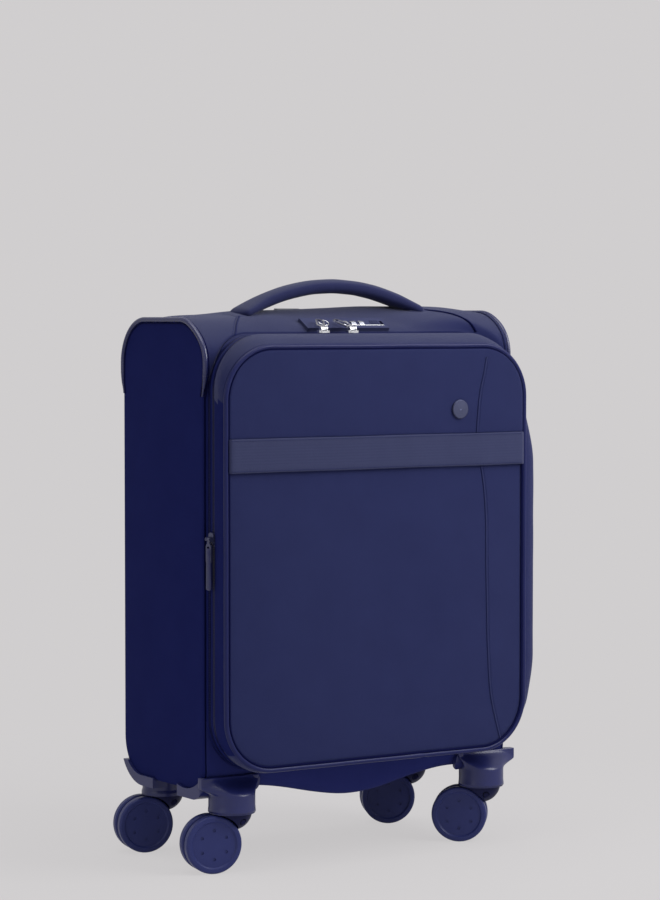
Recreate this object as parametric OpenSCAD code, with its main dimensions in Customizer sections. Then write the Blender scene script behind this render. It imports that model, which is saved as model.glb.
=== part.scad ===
// Softside upright suitcase with an expanding front lid, a telescopic trolley and four twin-wheel casters.
// Millimetres, +Z up, front towards -Y, origin on the floor under the middle of the case.

/* [Case] */
// Width of the case across its side panels
case_w = 370; // [340:1:400]
// Height of the top of the case above the floor
case_top = 550; // [520:1:600]
// Height of the flat underside above the floor
case_bottom = 80; // [76:1:86]
// Distance of the back face behind the middle
case_back = 101.5; // [98:0.5:110]
// Distance of the front edge of the shell before the middle
case_front = 60; // [56:0.5:64]
// Thickness of the padded walls
wall = 4; // [3:0.5:5]
// Radius of the two top corners, seen from the side
top_r = 45; // [42:1:48]
// Radius of the lower back corner, seen from the side
back_r = 40; // [34:1:44]
// Radius of the lower front corner, seen from the side
front_r = 20; // [14:1:26]
// How far the soft underside sags
belly = 13; // [6:1:16]
// Half the width of the sagging stretch
belly_hw = 120; // [110:1:122]
// Thickness of the raised piping on the side panels
piping_t = 2.5; // [1.5:0.5:4]
// Width of the raised piping on the side panels
piping_w = 5; // [4:0.5:7]
// How far the lower ends of the side piping lie below the top of the case
piping_drop = 74; // [62:1:90]

/* [Lid] */
// How far the top of the opening lies below the top of the case
lid_drop = 14; // [11:1:18]
// How far the bottom of the opening lies above the underside
lid_lift = 20; // [16:1:26]
// Corner radius of the opening
lid_r = 55; // [40:1:65]
// Distance of the lid's face before the middle
lid_front = 100; // [94:1:110]
// How far the lid's face spreads past the opening at each side
lid_flare = 2; // [0:0.5:3]
// How far the lid's top edge slopes down towards its face
lid_slope = 11; // [4:1:16]
// Thickness of the lid's face
panel_t = 3; // [2:0.5:4]
// Width of the piping round the lid's face
lid_piping_w = 4; // [3:0.5:6]
// Depth of the lid's frame strip between the two zips
ring_d = 4.6; // [3:0.2:7]
// Depth of the rim that stands before the shell
rim_proud = 1.8; // [1:0.2:3]
// Depth of one row of zip teeth
chain_d = 2.1; // [1.6:0.1:2.6]
// Width of one row of zip teeth
chain_w = 4; // [3:0.5:5]
// Gap between two rows of zip teeth
chain_gap = 0.4; // [0.3:0.1:0.6]
// How far the lower edge of the cross band lies below the top of the case
band_drop = 150.5; // [130:0.5:190]
// Width of the cross band
band_w = 33.5; // [25:0.5:45]
// Thickness of the cross band and of the upper pocket
band_t = 2.2; // [1.5:0.1:3]
// Radius of the round badge
badge_r = 9.75; // [7:0.25:13]
// Distance of the badge to the right of the middle
badge_x = 96.5; // [60:0.5:120]
// How far the badge lies below the top of the case
badge_drop = 92; // [60:1:95]
// How far the fabric hinge bulges past the side panel
hinge_bulge = 16; // [6:1:18]

/* [Zip sliders] */
// Length of a slider
slider_l = 13; // [11:0.5:15]
// Width of a slider
slider_w = 9; // [8:0.5:11]
// Thickness of a slider's plate
slider_t = 2.4; // [1.8:0.2:3]
// Place of the left main slider along the zip
slider_left_x = -46; // [-60:1:-40]
// Place of the right main slider along the zip
slider_right_x = -11; // [-14:1:0]
// Height of the expander slider
expander_slider_z = 334; // [300:1:360]
// Radius of a pull's hinge pin
pull_pin_r = 1.2; // [1:0.05:1.4]
// Length of a pull beyond its pin
pull_l = 25; // [20:1:28]
// Width of a pull's loop
pull_w = 9.5; // [8:0.5:11]
// Thickness of a pull
pull_t = 1.6; // [1.2:0.1:2]
// Lean of the main pulls towards each other
pull_lean = 26; // [0:1:28]

/* [Lock] */
// Length of the lock's deck
lock_l = 100; // [90:1:104]
// Width of the lock's deck up the slope
lock_w = 20; // [18:0.5:22]
// Place of the lock's middle to the left or right
lock_x = -4; // [-8:1:0]
// How far the deck stands out of the shell
lock_proud = 3; // [3:0.5:4.5]
// Radius of a dial
dial_r = 5.5; // [5:0.25:6]
// Width of a dial
dial_w = 5.6; // [4.6:0.2:6.2]
// Distance from dial to dial
dial_step = 9.8; // [9:0.2:11]
// Place of the first dial
dial_x = -3.5; // [-6:0.5:0]
// Length of the release button
release_l = 11; // [8:0.5:12]
// Travel of the release button
release_travel = 4; // [3:0.5:5]

/* [Carry handle] */
// Distance from one end of the handle's arch to the other
handle_span = 214; // [200:1:250]
// Height of the arch's upper side above the top of the case
handle_h = 38; // [30:1:46]
// Thickness of the padded arch
handle_t = 10; // [8:0.5:13]
// Width of the padded arch
handle_w = 26; // [20:1:28]
// Thickness of the anchor plates
anchor_t = 5; // [2:0.5:6]
// Length of the anchor plates
anchor_l = 34; // [28:1:40]
// Width of the anchor plates
anchor_w = 36; // [30:1:40]
// Place of the handle before the middle
handle_f = 2; // [-2:0.5:2]

/* [Trolley] */
// Distance between the two tubes
tube_step = 120; // [100:1:130]
// Distance of the tubes behind the middle
tube_y = 79; // [77:0.5:80]
// Radius of the outer tubes
outer_r = 9.5; // [9.2:0.1:10]
// Wall of every tube
tube_wall = 1.0; // [0.7:0.1:1.2]
// Running gap round each sliding tube
tube_gap = 0.08; // [0.04:0.02:0.1]
// Width of the grip
grip_l = 152; // [146:1:160]
// Depth of the grip from front to back
grip_d = 18; // [17:0.5:19]
// Height of the grip's middle above the top of the case
grip_rise = 10; // [6:1:14]
// How much lower the grip's ends are than its middle
grip_crown = 11; // [6:1:14]
// Length of the button in the grip
button_l = 30; // [24:1:36]
// Travel of the button in the grip
button_travel = 3; // [2:0.5:4]

/* [Casters] */
// Radius of a wheel
wheel_r = 29; // [27:0.25:29.2]
// Width of a wheel
wheel_w = 10.5; // [8:0.5:11]
// Gap between the twin wheels
wheel_gap = 5; // [4.4:0.2:6]
// Distance from the swivel axis back to the axle
trail = 22.5; // [20:0.5:24]
// Angle at which the left casters stand
left_yaw = -12; // [-45:1:45]
// Angle at which the front right caster stands
front_right_yaw = -40; // [-45:1:45]
// Angle at which the rear right caster stands
rear_right_yaw = -26; // [-45:1:45]
// Distance of the swivel axes to each side
pivot_x = 153.5; // [150:0.5:156]
// Distance of the front swivel axes before the middle
pivot_front = 62; // [58:0.5:64]
// Distance of the rear swivel axes behind the middle
pivot_back = 75; // [70:0.5:80]
// Radius of the axle
axle_r = 2.5; // [2:0.1:3]
// Radius of the swivel post
post_r = 5; // [4:0.25:6]
// Radius of the mouth of the cup over a caster
cup_r = 23; // [21:0.5:24]
// Height of the cup's mouth above the floor
cup_z = 58.8; // [58.6:0.2:62]
// How far the corner guards stand out of the shell
guard_t = 3; // [2.5:0.5:4]
// How far the corner guards reach below the underside
guard_drop = 8; // [6:0.5:10]

/* [Hidden] */
$fn = 48;
clear = 0.3;
touch = 0.05;
fit = 0.05;

navy = "#1d2750";
navy_light = "#2b3767";
steel = "#c9cbd0";
grey = "#8b8f99";

side_x = case_w / 2;
piping_end = case_top - piping_drop;
band_z = case_top - band_drop;
badge_z = case_top - badge_drop;
side_in = side_x - wall;
lid_top = case_top - lid_drop;
lid_bottom = case_bottom + lid_lift;
face_top = lid_top - lid_slope;
face_hw = side_in + lid_flare;
face_bottom = lid_bottom + lid_flare;

// Distances before the middle, from the rim to the lid's face
rim_f = case_front + rim_proud;
lid_chain_f = rim_f + chain_d + chain_gap;
ring_f = lid_chain_f + chain_d;
expander_f = ring_f + ring_d;
tray_f = expander_f + 2 * chain_d + chain_gap;
panel_f = lid_front - panel_t;
main_zip_f = rim_f + chain_d + chain_gap / 2;
expander_zip_f = expander_f + chain_d + chain_gap / 2;
chain_inset = 0.5;

// Where the rounded shell falls to the height of the opening's top edge
slope_reach = sqrt(top_r * top_r - pow(top_r - lid_drop, 2));
rim_back_f = case_front - top_r + slope_reach - wall / 2;

// Lock frame: a plane that touches the front top corner at this slope
lock_slope = 30;
lock_y = -(case_front - top_r) - top_r * sin(lock_slope);
lock_z = case_top - top_r + top_r * cos(lock_slope);
lock_seat = 1.5;
lock_well = 8;
deck_edge = 2;
dial_show = 1.2;
dial_n = lock_proud + dial_show - dial_r;
release_w = 7;
release_d = 2.5;
key_step = 26;
key_r = 4.5;
key_proud = 0.8;
key_slot = 1.2;
release_x = lock_x + lock_l / 2 - release_travel - release_l / 2 - 3;

// Fabric hinge: its reach along the side, and the welt on its hinge line
welt_r = 1.5;
strip_end = 45;
strip_drop = 95;
strip_l = lid_top - lid_bottom - strip_end - strip_drop;

// Pulls: height of the pin above the zip, and the slope at which they lie on the lock
slider_seat = 0.6;
barrel_r = pull_pin_r + 0.7;
pin_h = slider_seat + slider_t + barrel_r + clear;
ear_t = 1.4;
ear_r = 2.2;
neck_w = 4.6;
neck_l = 5;
loop_wall = 2;
pull_slope = 22;

// Carry handle: arch through its two ends and its top
arch_end = case_top + anchor_t + handle_t / 2;
arch_rise = case_top + handle_h - handle_t / 2 - arch_end;
arch_r = (pow(handle_span / 2, 2) + arch_rise * arch_rise) / (2 * arch_rise);

// Trolley tubes and the pocket for the grip
bore_r = outer_r - tube_wall;
stage1_r = bore_r - tube_gap;
stage1_bore = stage1_r - tube_wall;
stage2_r = stage1_bore - tube_gap;
bezel_wall = 3;
bezel_gap = 3;
grip_h = 29;
grip_corner = 9;
grip_bottom = case_top + grip_rise - grip_h;
pocket_floor = grip_bottom - clear;
bezel_bottom = pocket_floor - 12;
bezel_proud = 5;
base_h = 25;
base_top = case_bottom + base_h;
socket_d = 10;
grip_arc = (pow(grip_l / 2, 2) + grip_crown * grip_crown) / (2 * grip_crown);
button_w = 8;
button_h = 9;
button_show = 1.5;

// Lining and straps
lining_t = 2;
lining_y = tube_y - outer_r - clear - lining_t;
lining_past = lining_y + lining_t - case_back + back_r;
lining_z = case_bottom + back_r - sqrt(pow(back_r - wall, 2) - pow(max(lining_past, 0), 2)) + clear;
strap_w = 26;
strap_t = 2;
strap_z = 315;
buckle_l = 56;
buckle_w = 36;
buckle_t = 7;

// Casters
well_r = wheel_r + 1;
web_t = wheel_gap - 2 * clear;
web_drop = 18;
web_back = 4;
web_fore = 3;
hub_r = 7;
cup_flare = 1;
cup_lip = 3;
cup_top = case_bottom + 4;
cup_round = 9;
cup_well = 3;
well_wall = 1.8;
bowl_r = cup_r - well_wall - 0.8;
post_top = case_bottom - 3;
fork_top = cup_z + cup_well - clear;
rivet_x = 6.5;
rivet_z = fork_top - 10.5;
rivet_r = 2.4;
spot_r = 3.8;
spot_y = 0.69 * bowl_r;
rivet_end = spot_y + 1.2;
dish = 1.5;
axle_end = wheel_gap / 2 + wheel_w - dish - 2.5;

// Corner guards: ends of their wings, and the scallop in the side wings of the front ones
guard_top = lid_bottom - 5;
guard_round = 7;
guard_back_r = back_r + 5;
wing_in = belly_hw + 1;
wing_out = side_x + guard_t - guard_round;
wing_low = case_bottom - 3.5;
wing_end_r = 6;
wing_lip = 14;
front_wing_d = 4;
back_wing_d = 24;
side_wing_front = -12;
side_wing_back = 37;
side_wing_lap = 2.5;
scallop_y = -27;
scallop_low = case_bottom + 1.5;
scallop_land = 2.5;
scallop_reach = case_front + guard_t + scallop_y - scallop_land;
scallop_rise = guard_top - scallop_low;
scallop_r = (scallop_reach * scallop_reach + scallop_rise * scallop_rise) / (2 * scallop_rise);

// Rectangle between two corners, with round corners
module rounded(x0, x1, y0, y1, r) {
    translate([x0 + r, y0]) square([x1 - x0 - 2 * r, y1 - y0]);
    translate([x0, y0 + r]) square([x1 - x0, y1 - y0 - 2 * r]);
    for (x = [x0 + r, x1 - r], y = [y0 + r, y1 - r]) translate([x, y]) circle(r);
}

// What a round corner of radius r takes off, with its centre at y, z and the corner towards sy, sz
module round_off(y, z, r, sy, sz) {
    size = r + 1;
    translate([y, z]) difference() {
        translate([sy > 0 ? 0 : -size, sz > 0 ? 0 : -size]) square(size);
        circle(r);
    }
}

// Side view of the shell, grown outwards by d
module profile(d) {
    y0 = -case_front;
    y1 = case_back;
    z0 = case_bottom;
    z1 = case_top;
    difference() {
        translate([y0 - d, z0 - d]) square([y1 - y0 + 2 * d, z1 - z0 + 2 * d]);
        round_off(y0 + top_r, z1 - top_r, top_r + d, -1, 1);
        round_off(y1 - top_r, z1 - top_r, top_r + d, 1, 1);
        round_off(y1 - back_r, z0 + back_r, back_r + d, 1, -1);
        round_off(y0 + front_r, z0 + front_r, front_r + d, -1, -1);
    }
}

// Side view drawn out from x0 to x1
module across(x0, x1) {
    translate([x0, 0, 0]) rotate([90, 0, 90]) linear_extrude(x1 - x0) children();
}

// Front view drawn out between two distances before the middle
module forward(f0, f1) {
    translate([0, -f0, 0]) rotate([90, 0, 0]) linear_extrude(f1 - f0) children();
}

module shell_wall() {
    across(-side_in, side_in) difference() {
        profile(0);
        profile(-wall);
    }
}

// Front view of the opening, drawn in by d
module opening(d) {
    rounded(d - side_in, side_in - d, lid_bottom + d, lid_top - d, lid_r - d);
}

// Front view of the lid's face, drawn in by d
module face(d) {
    rounded(d - face_hw, face_hw - d, face_bottom + d, face_top - d, lid_r - d);
}

module opening_ring(f0, f1, d0, d1) {
    forward(f0, f1) difference() {
        opening(d0);
        opening(d1);
    }
}

module slab(x0, x1, y0, y1, z0, z1) {
    translate([x0, y0, z0]) cube([x1 - x0, y1 - y0, z1 - z0]);
}

module rim_space() {
    forward(rim_back_f, rim_f + 10) opening(-touch);
}

module on_lock() {
    translate([0, lock_y, lock_z]) rotate([lock_slope, 0, 0]) children();
}

module lock_space(grow) {
    half = lock_l / 2 + grow;
    deep = lock_w / 2 + grow;
    neck = half - 2 * deck_edge;
    on_lock() slab(lock_x - half, lock_x + half, -deep, deep, -lock_seat - grow, lock_proud);
    on_lock() slab(lock_x - neck, lock_x + neck, deck_edge - deep, deep - deck_edge, -lock_well - grow,
        lock_proud);
}

module bezel_outline(d) {
    half = grip_l / 2 + bezel_gap + bezel_wall + d;
    deep = grip_d / 2 + bezel_gap + bezel_wall + d;
    rounded(-half, half, tube_y - deep, tube_y + deep, 8 + d);
}

module bezel_space(grow) {
    translate([0, 0, bezel_bottom - grow]) linear_extrude(case_top) bezel_outline(grow);
}

module side_panel_left() {
    color(navy) across(-side_x, -side_in) profile(0);
}

module side_panel_right() {
    color(navy) across(side_in, side_x) profile(0);
}

module top_yoke() {
    color(navy) difference() {
        intersection() {
            shell_wall();
            slab(-side_x, side_x, -case_front, case_back, piping_end, case_top);
        }
        rim_space();
        lock_space(touch);
        bezel_space(touch);
    }
}

module back_panel() {
    color(navy) intersection() {
        shell_wall();
        slab(-side_x, side_x, case_back - back_r, case_back, case_bottom, piping_end);
    }
}

// Flat plate with a shallow arch turned down in its middle
module bottom_panel() {
    sag_r = (belly_hw * belly_hw + belly * belly) / (2 * belly);
    sag_z = case_bottom - belly + sag_r;
    deep = case_back - back_r + case_front - front_r;
    color(navy) translate([0, case_back - back_r, 0]) rotate([90, 0, 0]) linear_extrude(deep) difference() {
        union() {
            translate([-side_in, case_bottom]) square([2 * side_in, wall]);
            intersection() {
                translate([0, sag_z]) circle(sag_r, $fn = 360);
                translate([-case_w, case_bottom - belly - 1]) square([2 * case_w, belly + 1 + wall / 2]);
            }
        }
        translate([0, sag_z]) circle(sag_r - wall, $fn = 360);
    }
}

module front_rim() {
    color(navy) {
        difference() {
            intersection() {
                shell_wall();
                slab(-side_x, side_x, -case_front, front_r - case_front, case_bottom, piping_end);
            }
            forward(0, rim_f) opening(wall / 2);
        }
        opening_ring(rim_back_f + touch, rim_f, 0, wall);
    }
}

module zip_chain_case() {
    color(navy_light) opening_ring(rim_f, rim_f + chain_d, chain_inset, chain_inset + chain_w);
}

module side_piping() {
    color(navy_light) for (x = [-side_x - piping_t, side_x]) intersection() {
        across(x, x + piping_t) difference() {
            profile(0);
            profile(-piping_w);
        }
        slab(-case_w, case_w, -case_front, case_back, piping_end, case_top);
    }
}

module carry_handle() {
    half_angle = asin(handle_span / 2 / arch_r);
    pad_z = case_top + anchor_t;
    color(navy) translate([0, -handle_f, 0]) difference() {
        union() {
            translate([0, 0, arch_end + arch_rise - arch_r]) rotate([90, 90, 0])
            rotate([0, 0, 180 - half_angle]) rotate_extrude(angle = 2 * half_angle, $fn = 96)
            translate([arch_r, 0]) rounded(-handle_t / 2, handle_t / 2, -handle_w / 2, handle_w / 2,
                handle_t / 2 - 0.5);
            for (s = [-1, 1]) translate([s * handle_span / 2, 0, pad_z]) linear_extrude(handle_t / 2)
                rounded(-anchor_l / 2, anchor_l / 2, -anchor_w / 2, anchor_w / 2, 8);
        }
        slab(-case_w, case_w, -anchor_w, anchor_w, 0, pad_z);
    }
}

module handle_anchors() {
    color(navy) for (s = [-1, 1]) translate([s * handle_span / 2, -handle_f, case_top])
    linear_extrude(anchor_t) rounded(-anchor_l / 2, anchor_l / 2, -anchor_w / 2, anchor_w / 2, 8);
}

module lock_housing() {
    slot = dial_w / 2 + clear;
    well = dial_r + clear;
    r_x0 = release_x - release_l / 2 - clear;
    r_x1 = release_x + release_l / 2 + release_travel + clear;
    color(grey) difference() {
        union() {
            lock_space(0);
            on_lock() translate([dial_x - key_step, 0, 0]) cylinder(r = key_r, h = lock_proud + key_proud);
        }
        for (i = [0:2]) on_lock() translate([dial_x + i * dial_step, 0, dial_n]) rotate([0, 90, 0])
            cylinder(r = well, h = 2 * slot, center = true);
        on_lock() slab(r_x0, r_x1, -release_w / 2 - clear, release_w / 2 + clear, lock_proud - release_d,
            lock_proud + 1);
        on_lock() translate([dial_x - key_step, 0, lock_proud + 1])
            cube([key_slot, 2 * key_r - 4, 4], center = true);
    }
    // Pins that carry the dials, across their wells
    color(grey) on_lock() translate([dial_x - slot - touch, 0, dial_n]) rotate([0, 90, 0])
        cylinder(r = pull_pin_r, h = 2 * dial_step + 2 * slot + 2 * touch);
}

module lock_dial(i) {
    color("silver") on_lock() translate([dial_x + i * dial_step, 0, dial_n]) rotate([0, 90, 0])
    difference() {
        cylinder(r = dial_r, h = dial_w, center = true);
        cylinder(r = pull_pin_r + fit, h = dial_w + 1, center = true);
        for (a = [0:36:324]) rotate([0, 0, a + 18]) translate([dial_r + 0.5, 0, 0])
            cylinder(r = 0.9, h = dial_w + 1, center = true, $fn = 16);
    }
}

module lock_dial_1() { lock_dial(0); }
module lock_dial_2() { lock_dial(1); }
module lock_dial_3() { lock_dial(2); }

module lock_release() {
    rib = 0.6;
    color("silver") on_lock() {
        slab(release_x - release_l / 2, release_x + release_l / 2, -release_w / 2, release_w / 2,
            lock_proud - release_d + clear, lock_proud + rib);
        for (i = [-1:1]) slab(release_x + i * 5 * rib - rib, release_x + i * 5 * rib + rib, -release_w / 2,
            release_w / 2, lock_proud + rib, lock_proud + 2 * rib);
    }
}

// Slider on a zip: X along the zip, Z out of it; turn is the heading of the hinge pin
module slider(turn) {
    color(steel) {
        translate([0, 0, slider_seat]) linear_extrude(slider_t)
            rounded(-slider_l / 2, slider_l / 2, -slider_w / 2, slider_w / 2, 3);
        rotate([0, 0, turn]) for (s = [-1, 1]) difference() {
            translate([s * (neck_w / 2 + clear + ear_t / 2), 0, 0]) {
                translate([-ear_t / 2, -ear_r, slider_seat]) cube([ear_t, 2 * ear_r, pin_h - slider_seat]);
                translate([-ear_t / 2, 0, pin_h]) rotate([0, 90, 0]) cylinder(r = ear_r, h = ear_t);
            }
            translate([0, 0, pin_h]) rotate([0, 90, 0])
                cylinder(r = pull_pin_r + fit, h = slider_l, center = true);
        }
    }
}

// Loop pull on its pin: pin along X, loop along +Y, leaning by lean
module pull(lean) {
    pin_half = neck_w / 2 + clear + ear_t;
    color(steel) {
        rotate([0, 90, 0]) cylinder(r = pull_pin_r, h = 2 * pin_half, center = true);
        rotate([0, 90, 0]) cylinder(r = barrel_r, h = neck_w, center = true);
        translate([-neck_w / 2, 0, -pull_t / 2]) cube([neck_w, neck_l, pull_t]);
        translate([0, neck_l, -pull_t / 2]) rotate([0, 0, lean]) linear_extrude(pull_t) difference() {
            rounded(-pull_w / 2, pull_w / 2, -1, pull_l - neck_l, pull_w / 2 - 0.5);
            rounded(loop_wall - pull_w / 2, pull_w / 2 - loop_wall, loop_wall, pull_l - neck_l - loop_wall,
                pull_w / 2 - loop_wall - 0.5);
        }
    }
}

module on_main_zip(x) {
    translate([x, -main_zip_f, lid_top]) children();
}

module on_expander_zip() {
    translate([-side_in, -expander_zip_f, expander_slider_z]) rotate([0, 90, 180]) children();
}

module main_slider_left() { on_main_zip(slider_left_x) slider(0); }
module main_slider_right() { on_main_zip(slider_right_x) slider(0); }
module expander_slider() { on_expander_zip() slider(-90); }

module main_pull_left() {
    on_main_zip(slider_left_x) translate([0, 0, pin_h]) rotate([pull_slope, 0, 0]) pull(-pull_lean);
}

module main_pull_right() {
    on_main_zip(slider_right_x) translate([0, 0, pin_h]) rotate([pull_slope, 0, 0]) pull(pull_lean);
}

module expander_pull() {
    on_expander_zip() translate([0, 0, pin_h]) rotate([0, 0, -90]) pull(0);
}

// Bulging strip of fabric that joins the lid to the right side panel, with a welt along the hinge line
module lid_hinge_strip() {
    half = tray_f - rim_f;
    skin = 1.5;
    bulge = hinge_bulge + skin;
    arc_r = (half * half + bulge * bulge) / (2 * bulge);
    color(navy) translate([0, -main_zip_f, lid_bottom + strip_end]) linear_extrude(strip_l) {
        intersection() {
            translate([side_x + hinge_bulge - arc_r, 0]) difference() {
                circle(arc_r);
                circle(arc_r - skin);
            }
            translate([side_x + clear, -2 * half]) square([hinge_bulge, 4 * half]);
        }
        translate([side_x + clear, 0]) square([skin, half]);
        translate([side_x + welt_r + clear, 0]) circle(welt_r);
    }
}

module lid_ring() {
    color(navy) opening_ring(ring_f, expander_f, 0, wall + 1);
}

module zip_chains_lid() {
    color(navy_light) {
        opening_ring(lid_chain_f, ring_f, chain_inset, chain_inset + chain_w);
        opening_ring(expander_f, expander_f + chain_d, chain_inset, chain_inset + chain_w);
    }
}

module expander_gusset() {
    color(navy) opening_ring(ring_f + 1, tray_f + 2, wall + 1 + clear, wall + 2.5 + clear);
}

module zip_chain_expander() {
    color(navy_light) opening_ring(tray_f - chain_d, tray_f, chain_inset, chain_inset + chain_w);
}

// Wall that runs from the opening's outline to the outline of the face
module lid_gusset() {
    skin = 0.01;
    color(navy) difference() {
        hull() {
            forward(tray_f, tray_f + skin) opening(0);
            forward(panel_f - skin, panel_f) face(0);
        }
        hull() {
            forward(tray_f - 1, tray_f) opening(wall);
            forward(panel_f, panel_f + 1) face(wall);
        }
    }
}

module front_panel() {
    color(navy_light) forward(panel_f, lid_front) face(lid_piping_w + touch);
}

module lid_piping() {
    color(navy) forward(panel_f, lid_front + 0.5) difference() {
        face(0);
        face(lid_piping_w);
    }
}

module upper_pocket() {
    color(navy_light) forward(lid_front, lid_front + band_t) intersection() {
        face(lid_piping_w + 1);
        translate([-case_w, band_z + band_w + touch]) square([2 * case_w, case_top]);
    }
}

module pocket_band() {
    color(navy_light) forward(lid_front, lid_front + band_t) intersection() {
        face(lid_piping_w + 1);
        translate([-case_w, band_z]) square([2 * case_w, band_w]);
    }
}

module badge() {
    color(grey) translate([badge_x, -lid_front - band_t, badge_z]) rotate([90, 0, 0])
    rotate_extrude() polygon([[0, 0], [badge_r, 0], [badge_r, 1], [badge_r - 0.8, 1.6], [0, 1.9]]);
}

module trolley_bezel() {
    color(navy) difference() {
        intersection() {
            bezel_space(0);
            across(-side_in, side_in) profile(bezel_proud);
        }
        translate([0, 0, pocket_floor]) linear_extrude(case_top) bezel_outline(-bezel_wall);
        for (s = [-1, 1]) translate([s * tube_step / 2, tube_y, 0]) cylinder(r = bore_r, h = case_top);
    }
}

module tubes(r, bore, z0, z1) {
    for (s = [-1, 1]) translate([s * tube_step / 2, tube_y, z0]) difference() {
        cylinder(r = r, h = z1 - z0);
        translate([0, 0, -1]) cylinder(r = bore, h = z1 - z0 + 2);
    }
}

module trolley_outer_tubes() {
    color(grey) tubes(outer_r, bore_r, base_top, bezel_bottom);
}

module trolley_stage_1() {
    color(steel) tubes(stage1_r, stage1_bore, base_top + clear, pocket_floor - 1);
}

module trolley_stage_2() {
    color(steel) tubes(stage2_r, stage2_r - tube_wall, base_top + 2 * clear, grip_bottom + socket_d);
}

module trolley_base() {
    half = tube_step / 2 + outer_r + 4;
    color(grey) intersection() {
        slab(-half, half, lining_y + lining_t + clear, case_back, case_bottom, base_top);
        across(-half, half) profile(-wall - touch);
    }
}

// Crowned bar with a well for the button and sockets for the second stage
module trolley_grip() {
    half = grip_l / 2;
    top = case_top + grip_rise;
    color("#20243a") difference() {
        translate([0, tube_y + grip_d / 2, 0]) rotate([90, 0, 0]) linear_extrude(grip_d) intersection() {
            translate([0, top - grip_arc]) circle(grip_arc, $fn = 180);
            rounded(-half, half, grip_bottom, top + 2 * grip_corner, grip_corner);
        }
        for (s = [-1, 1]) translate([s * tube_step / 2, tube_y, grip_bottom - 1])
            cylinder(r = stage2_r + fit, h = socket_d + 1 + fit);
        translate([0, tube_y, top - button_h - button_travel]) linear_extrude(case_top)
            rounded(-button_l / 2 - clear, button_l / 2 + clear, -button_w / 2 - clear,
                button_w / 2 + clear, button_w / 2);
    }
}

module trolley_button() {
    color(grey) translate([0, tube_y, case_top + grip_rise - button_h + clear])
    linear_extrude(button_h + button_show - clear)
        rounded(-button_l / 2, button_l / 2, -button_w / 2, button_w / 2, button_w / 2 - clear);
}

module back_lining() {
    color("#3a3f52") slab(-side_in + clear, side_in - clear, lining_y, lining_y + lining_t,
        lining_z, case_top - top_r);
}

module packing_straps() {
    color("#15171f") for (s = [-1, 1]) translate([s > 0 ? buckle_l / 2 : -side_in + clear,
        lining_y - strap_t, strap_z - strap_w / 2])
        cube([side_in - clear - buckle_l / 2, strap_t, strap_w]);
}

module strap_buckle() {
    color("#15171f") translate([0, lining_y, strap_z]) rotate([90, 0, 0]) linear_extrude(buckle_t)
        rounded(-buckle_l / 2, buckle_l / 2, -buckle_w / 2, buckle_w / 2, 7);
}

// Shell with its sides, grown outwards by d
module body_solid(d) {
    across(-side_x - d, side_x + d) profile(d);
}

function pivot_y(sy) = sy < 0 ? -pivot_front : pivot_back;

// Space between a guard's outer faces, with round lower corners and round upright edges
module guard_space() {
    y0 = -case_front - guard_t;
    y1 = case_back + guard_t;
    z0 = case_bottom - guard_drop;
    intersection() {
        across(-side_x - guard_t, side_x + guard_t) difference() {
            translate([y0, z0]) square([y1 - y0, case_top - z0]);
            round_off(y0 + front_r, z0 + front_r, front_r, -1, -1);
            round_off(y1 - guard_back_r, z0 + guard_back_r, guard_back_r, 1, -1);
        }
        linear_extrude(case_top) rounded(-side_x - guard_t, side_x + guard_t, y0, y1, guard_round);
    }
}

// Blunt wing of a guard across the front or the back of the shell
module cross_wing(sx, sy) {
    x0 = sx > 0 ? wing_in : -wing_out - wing_end_r;
    f0 = sy < 0 ? case_front - front_wing_d : -case_back - wing_lip;
    f1 = sy < 0 ? case_front + wing_lip : back_wing_d - case_back;
    intersection() {
        guard_space();
        forward(f0, f1) rounded(x0, x0 + wing_out + wing_end_r - wing_in, wing_low, guard_top, wing_end_r);
        slab(-wing_out, wing_out, -case_w, case_w, 0, case_top);
    }
}

// Low wing along the side panel: scalloped on a front guard, a band along the round corner on a rear one
module side_wing(sx, sy) {
    x0 = sx > 0 ? side_x - wing_lip : -side_x - wing_lip;
    intersection() {
        guard_space();
        across(x0, x0 + 2 * wing_lip) difference() {
            translate([sy < 0 ? side_wing_front - case_w : side_wing_back, 0]) square([case_w, guard_top]);
            if (sy < 0) translate([scallop_y, scallop_low + scallop_r]) circle(scallop_r, $fn = 180);
            else profile(-side_wing_lap);
        }
    }
}

// Cup over a caster, with a flared mouth, a round shoulder and a well for the top of the fork
module cup() {
    r = cup_r - cup_flare;
    rotate_extrude($fn = 64) difference() {
        polygon([[0, cup_z], [cup_r, cup_z], [cup_r, cup_z + cup_lip], [r, cup_z + 2 * cup_lip],
            [r, cup_top], [0, cup_top]]);
        round_off(r - cup_round, cup_top - cup_round, cup_round, 1, 1);
        translate([-1, cup_z - 1]) square([cup_r - well_wall + 1, cup_well + 1]);
    }
}

// Moulded guard that wraps one lower corner and carries the cup of its caster
module corner_guard(sx, sy) {
    color(navy) difference() {
        union() {
            cross_wing(sx, sy);
            side_wing(sx, sy);
            translate([sx * pivot_x, pivot_y(sy), 0]) cup();
        }
        body_solid(touch);
        translate([sx * pivot_x, pivot_y(sy), 0]) cylinder(r = post_r + fit, h = post_top + clear);
    }
}

module corner_guard_front_left() { corner_guard(-1, -1); }
module corner_guard_front_right() { corner_guard(1, -1); }
module corner_guard_rear_left() { corner_guard(-1, 1); }
module corner_guard_rear_right() { corner_guard(1, 1); }

module at_caster(sx, sy) {
    yaw = sx < 0 ? left_yaw : sy < 0 ? front_right_yaw : rear_right_yaw;
    translate([sx * pivot_x, pivot_y(sy), 0]) rotate([0, 0, yaw]) children();
}

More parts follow.
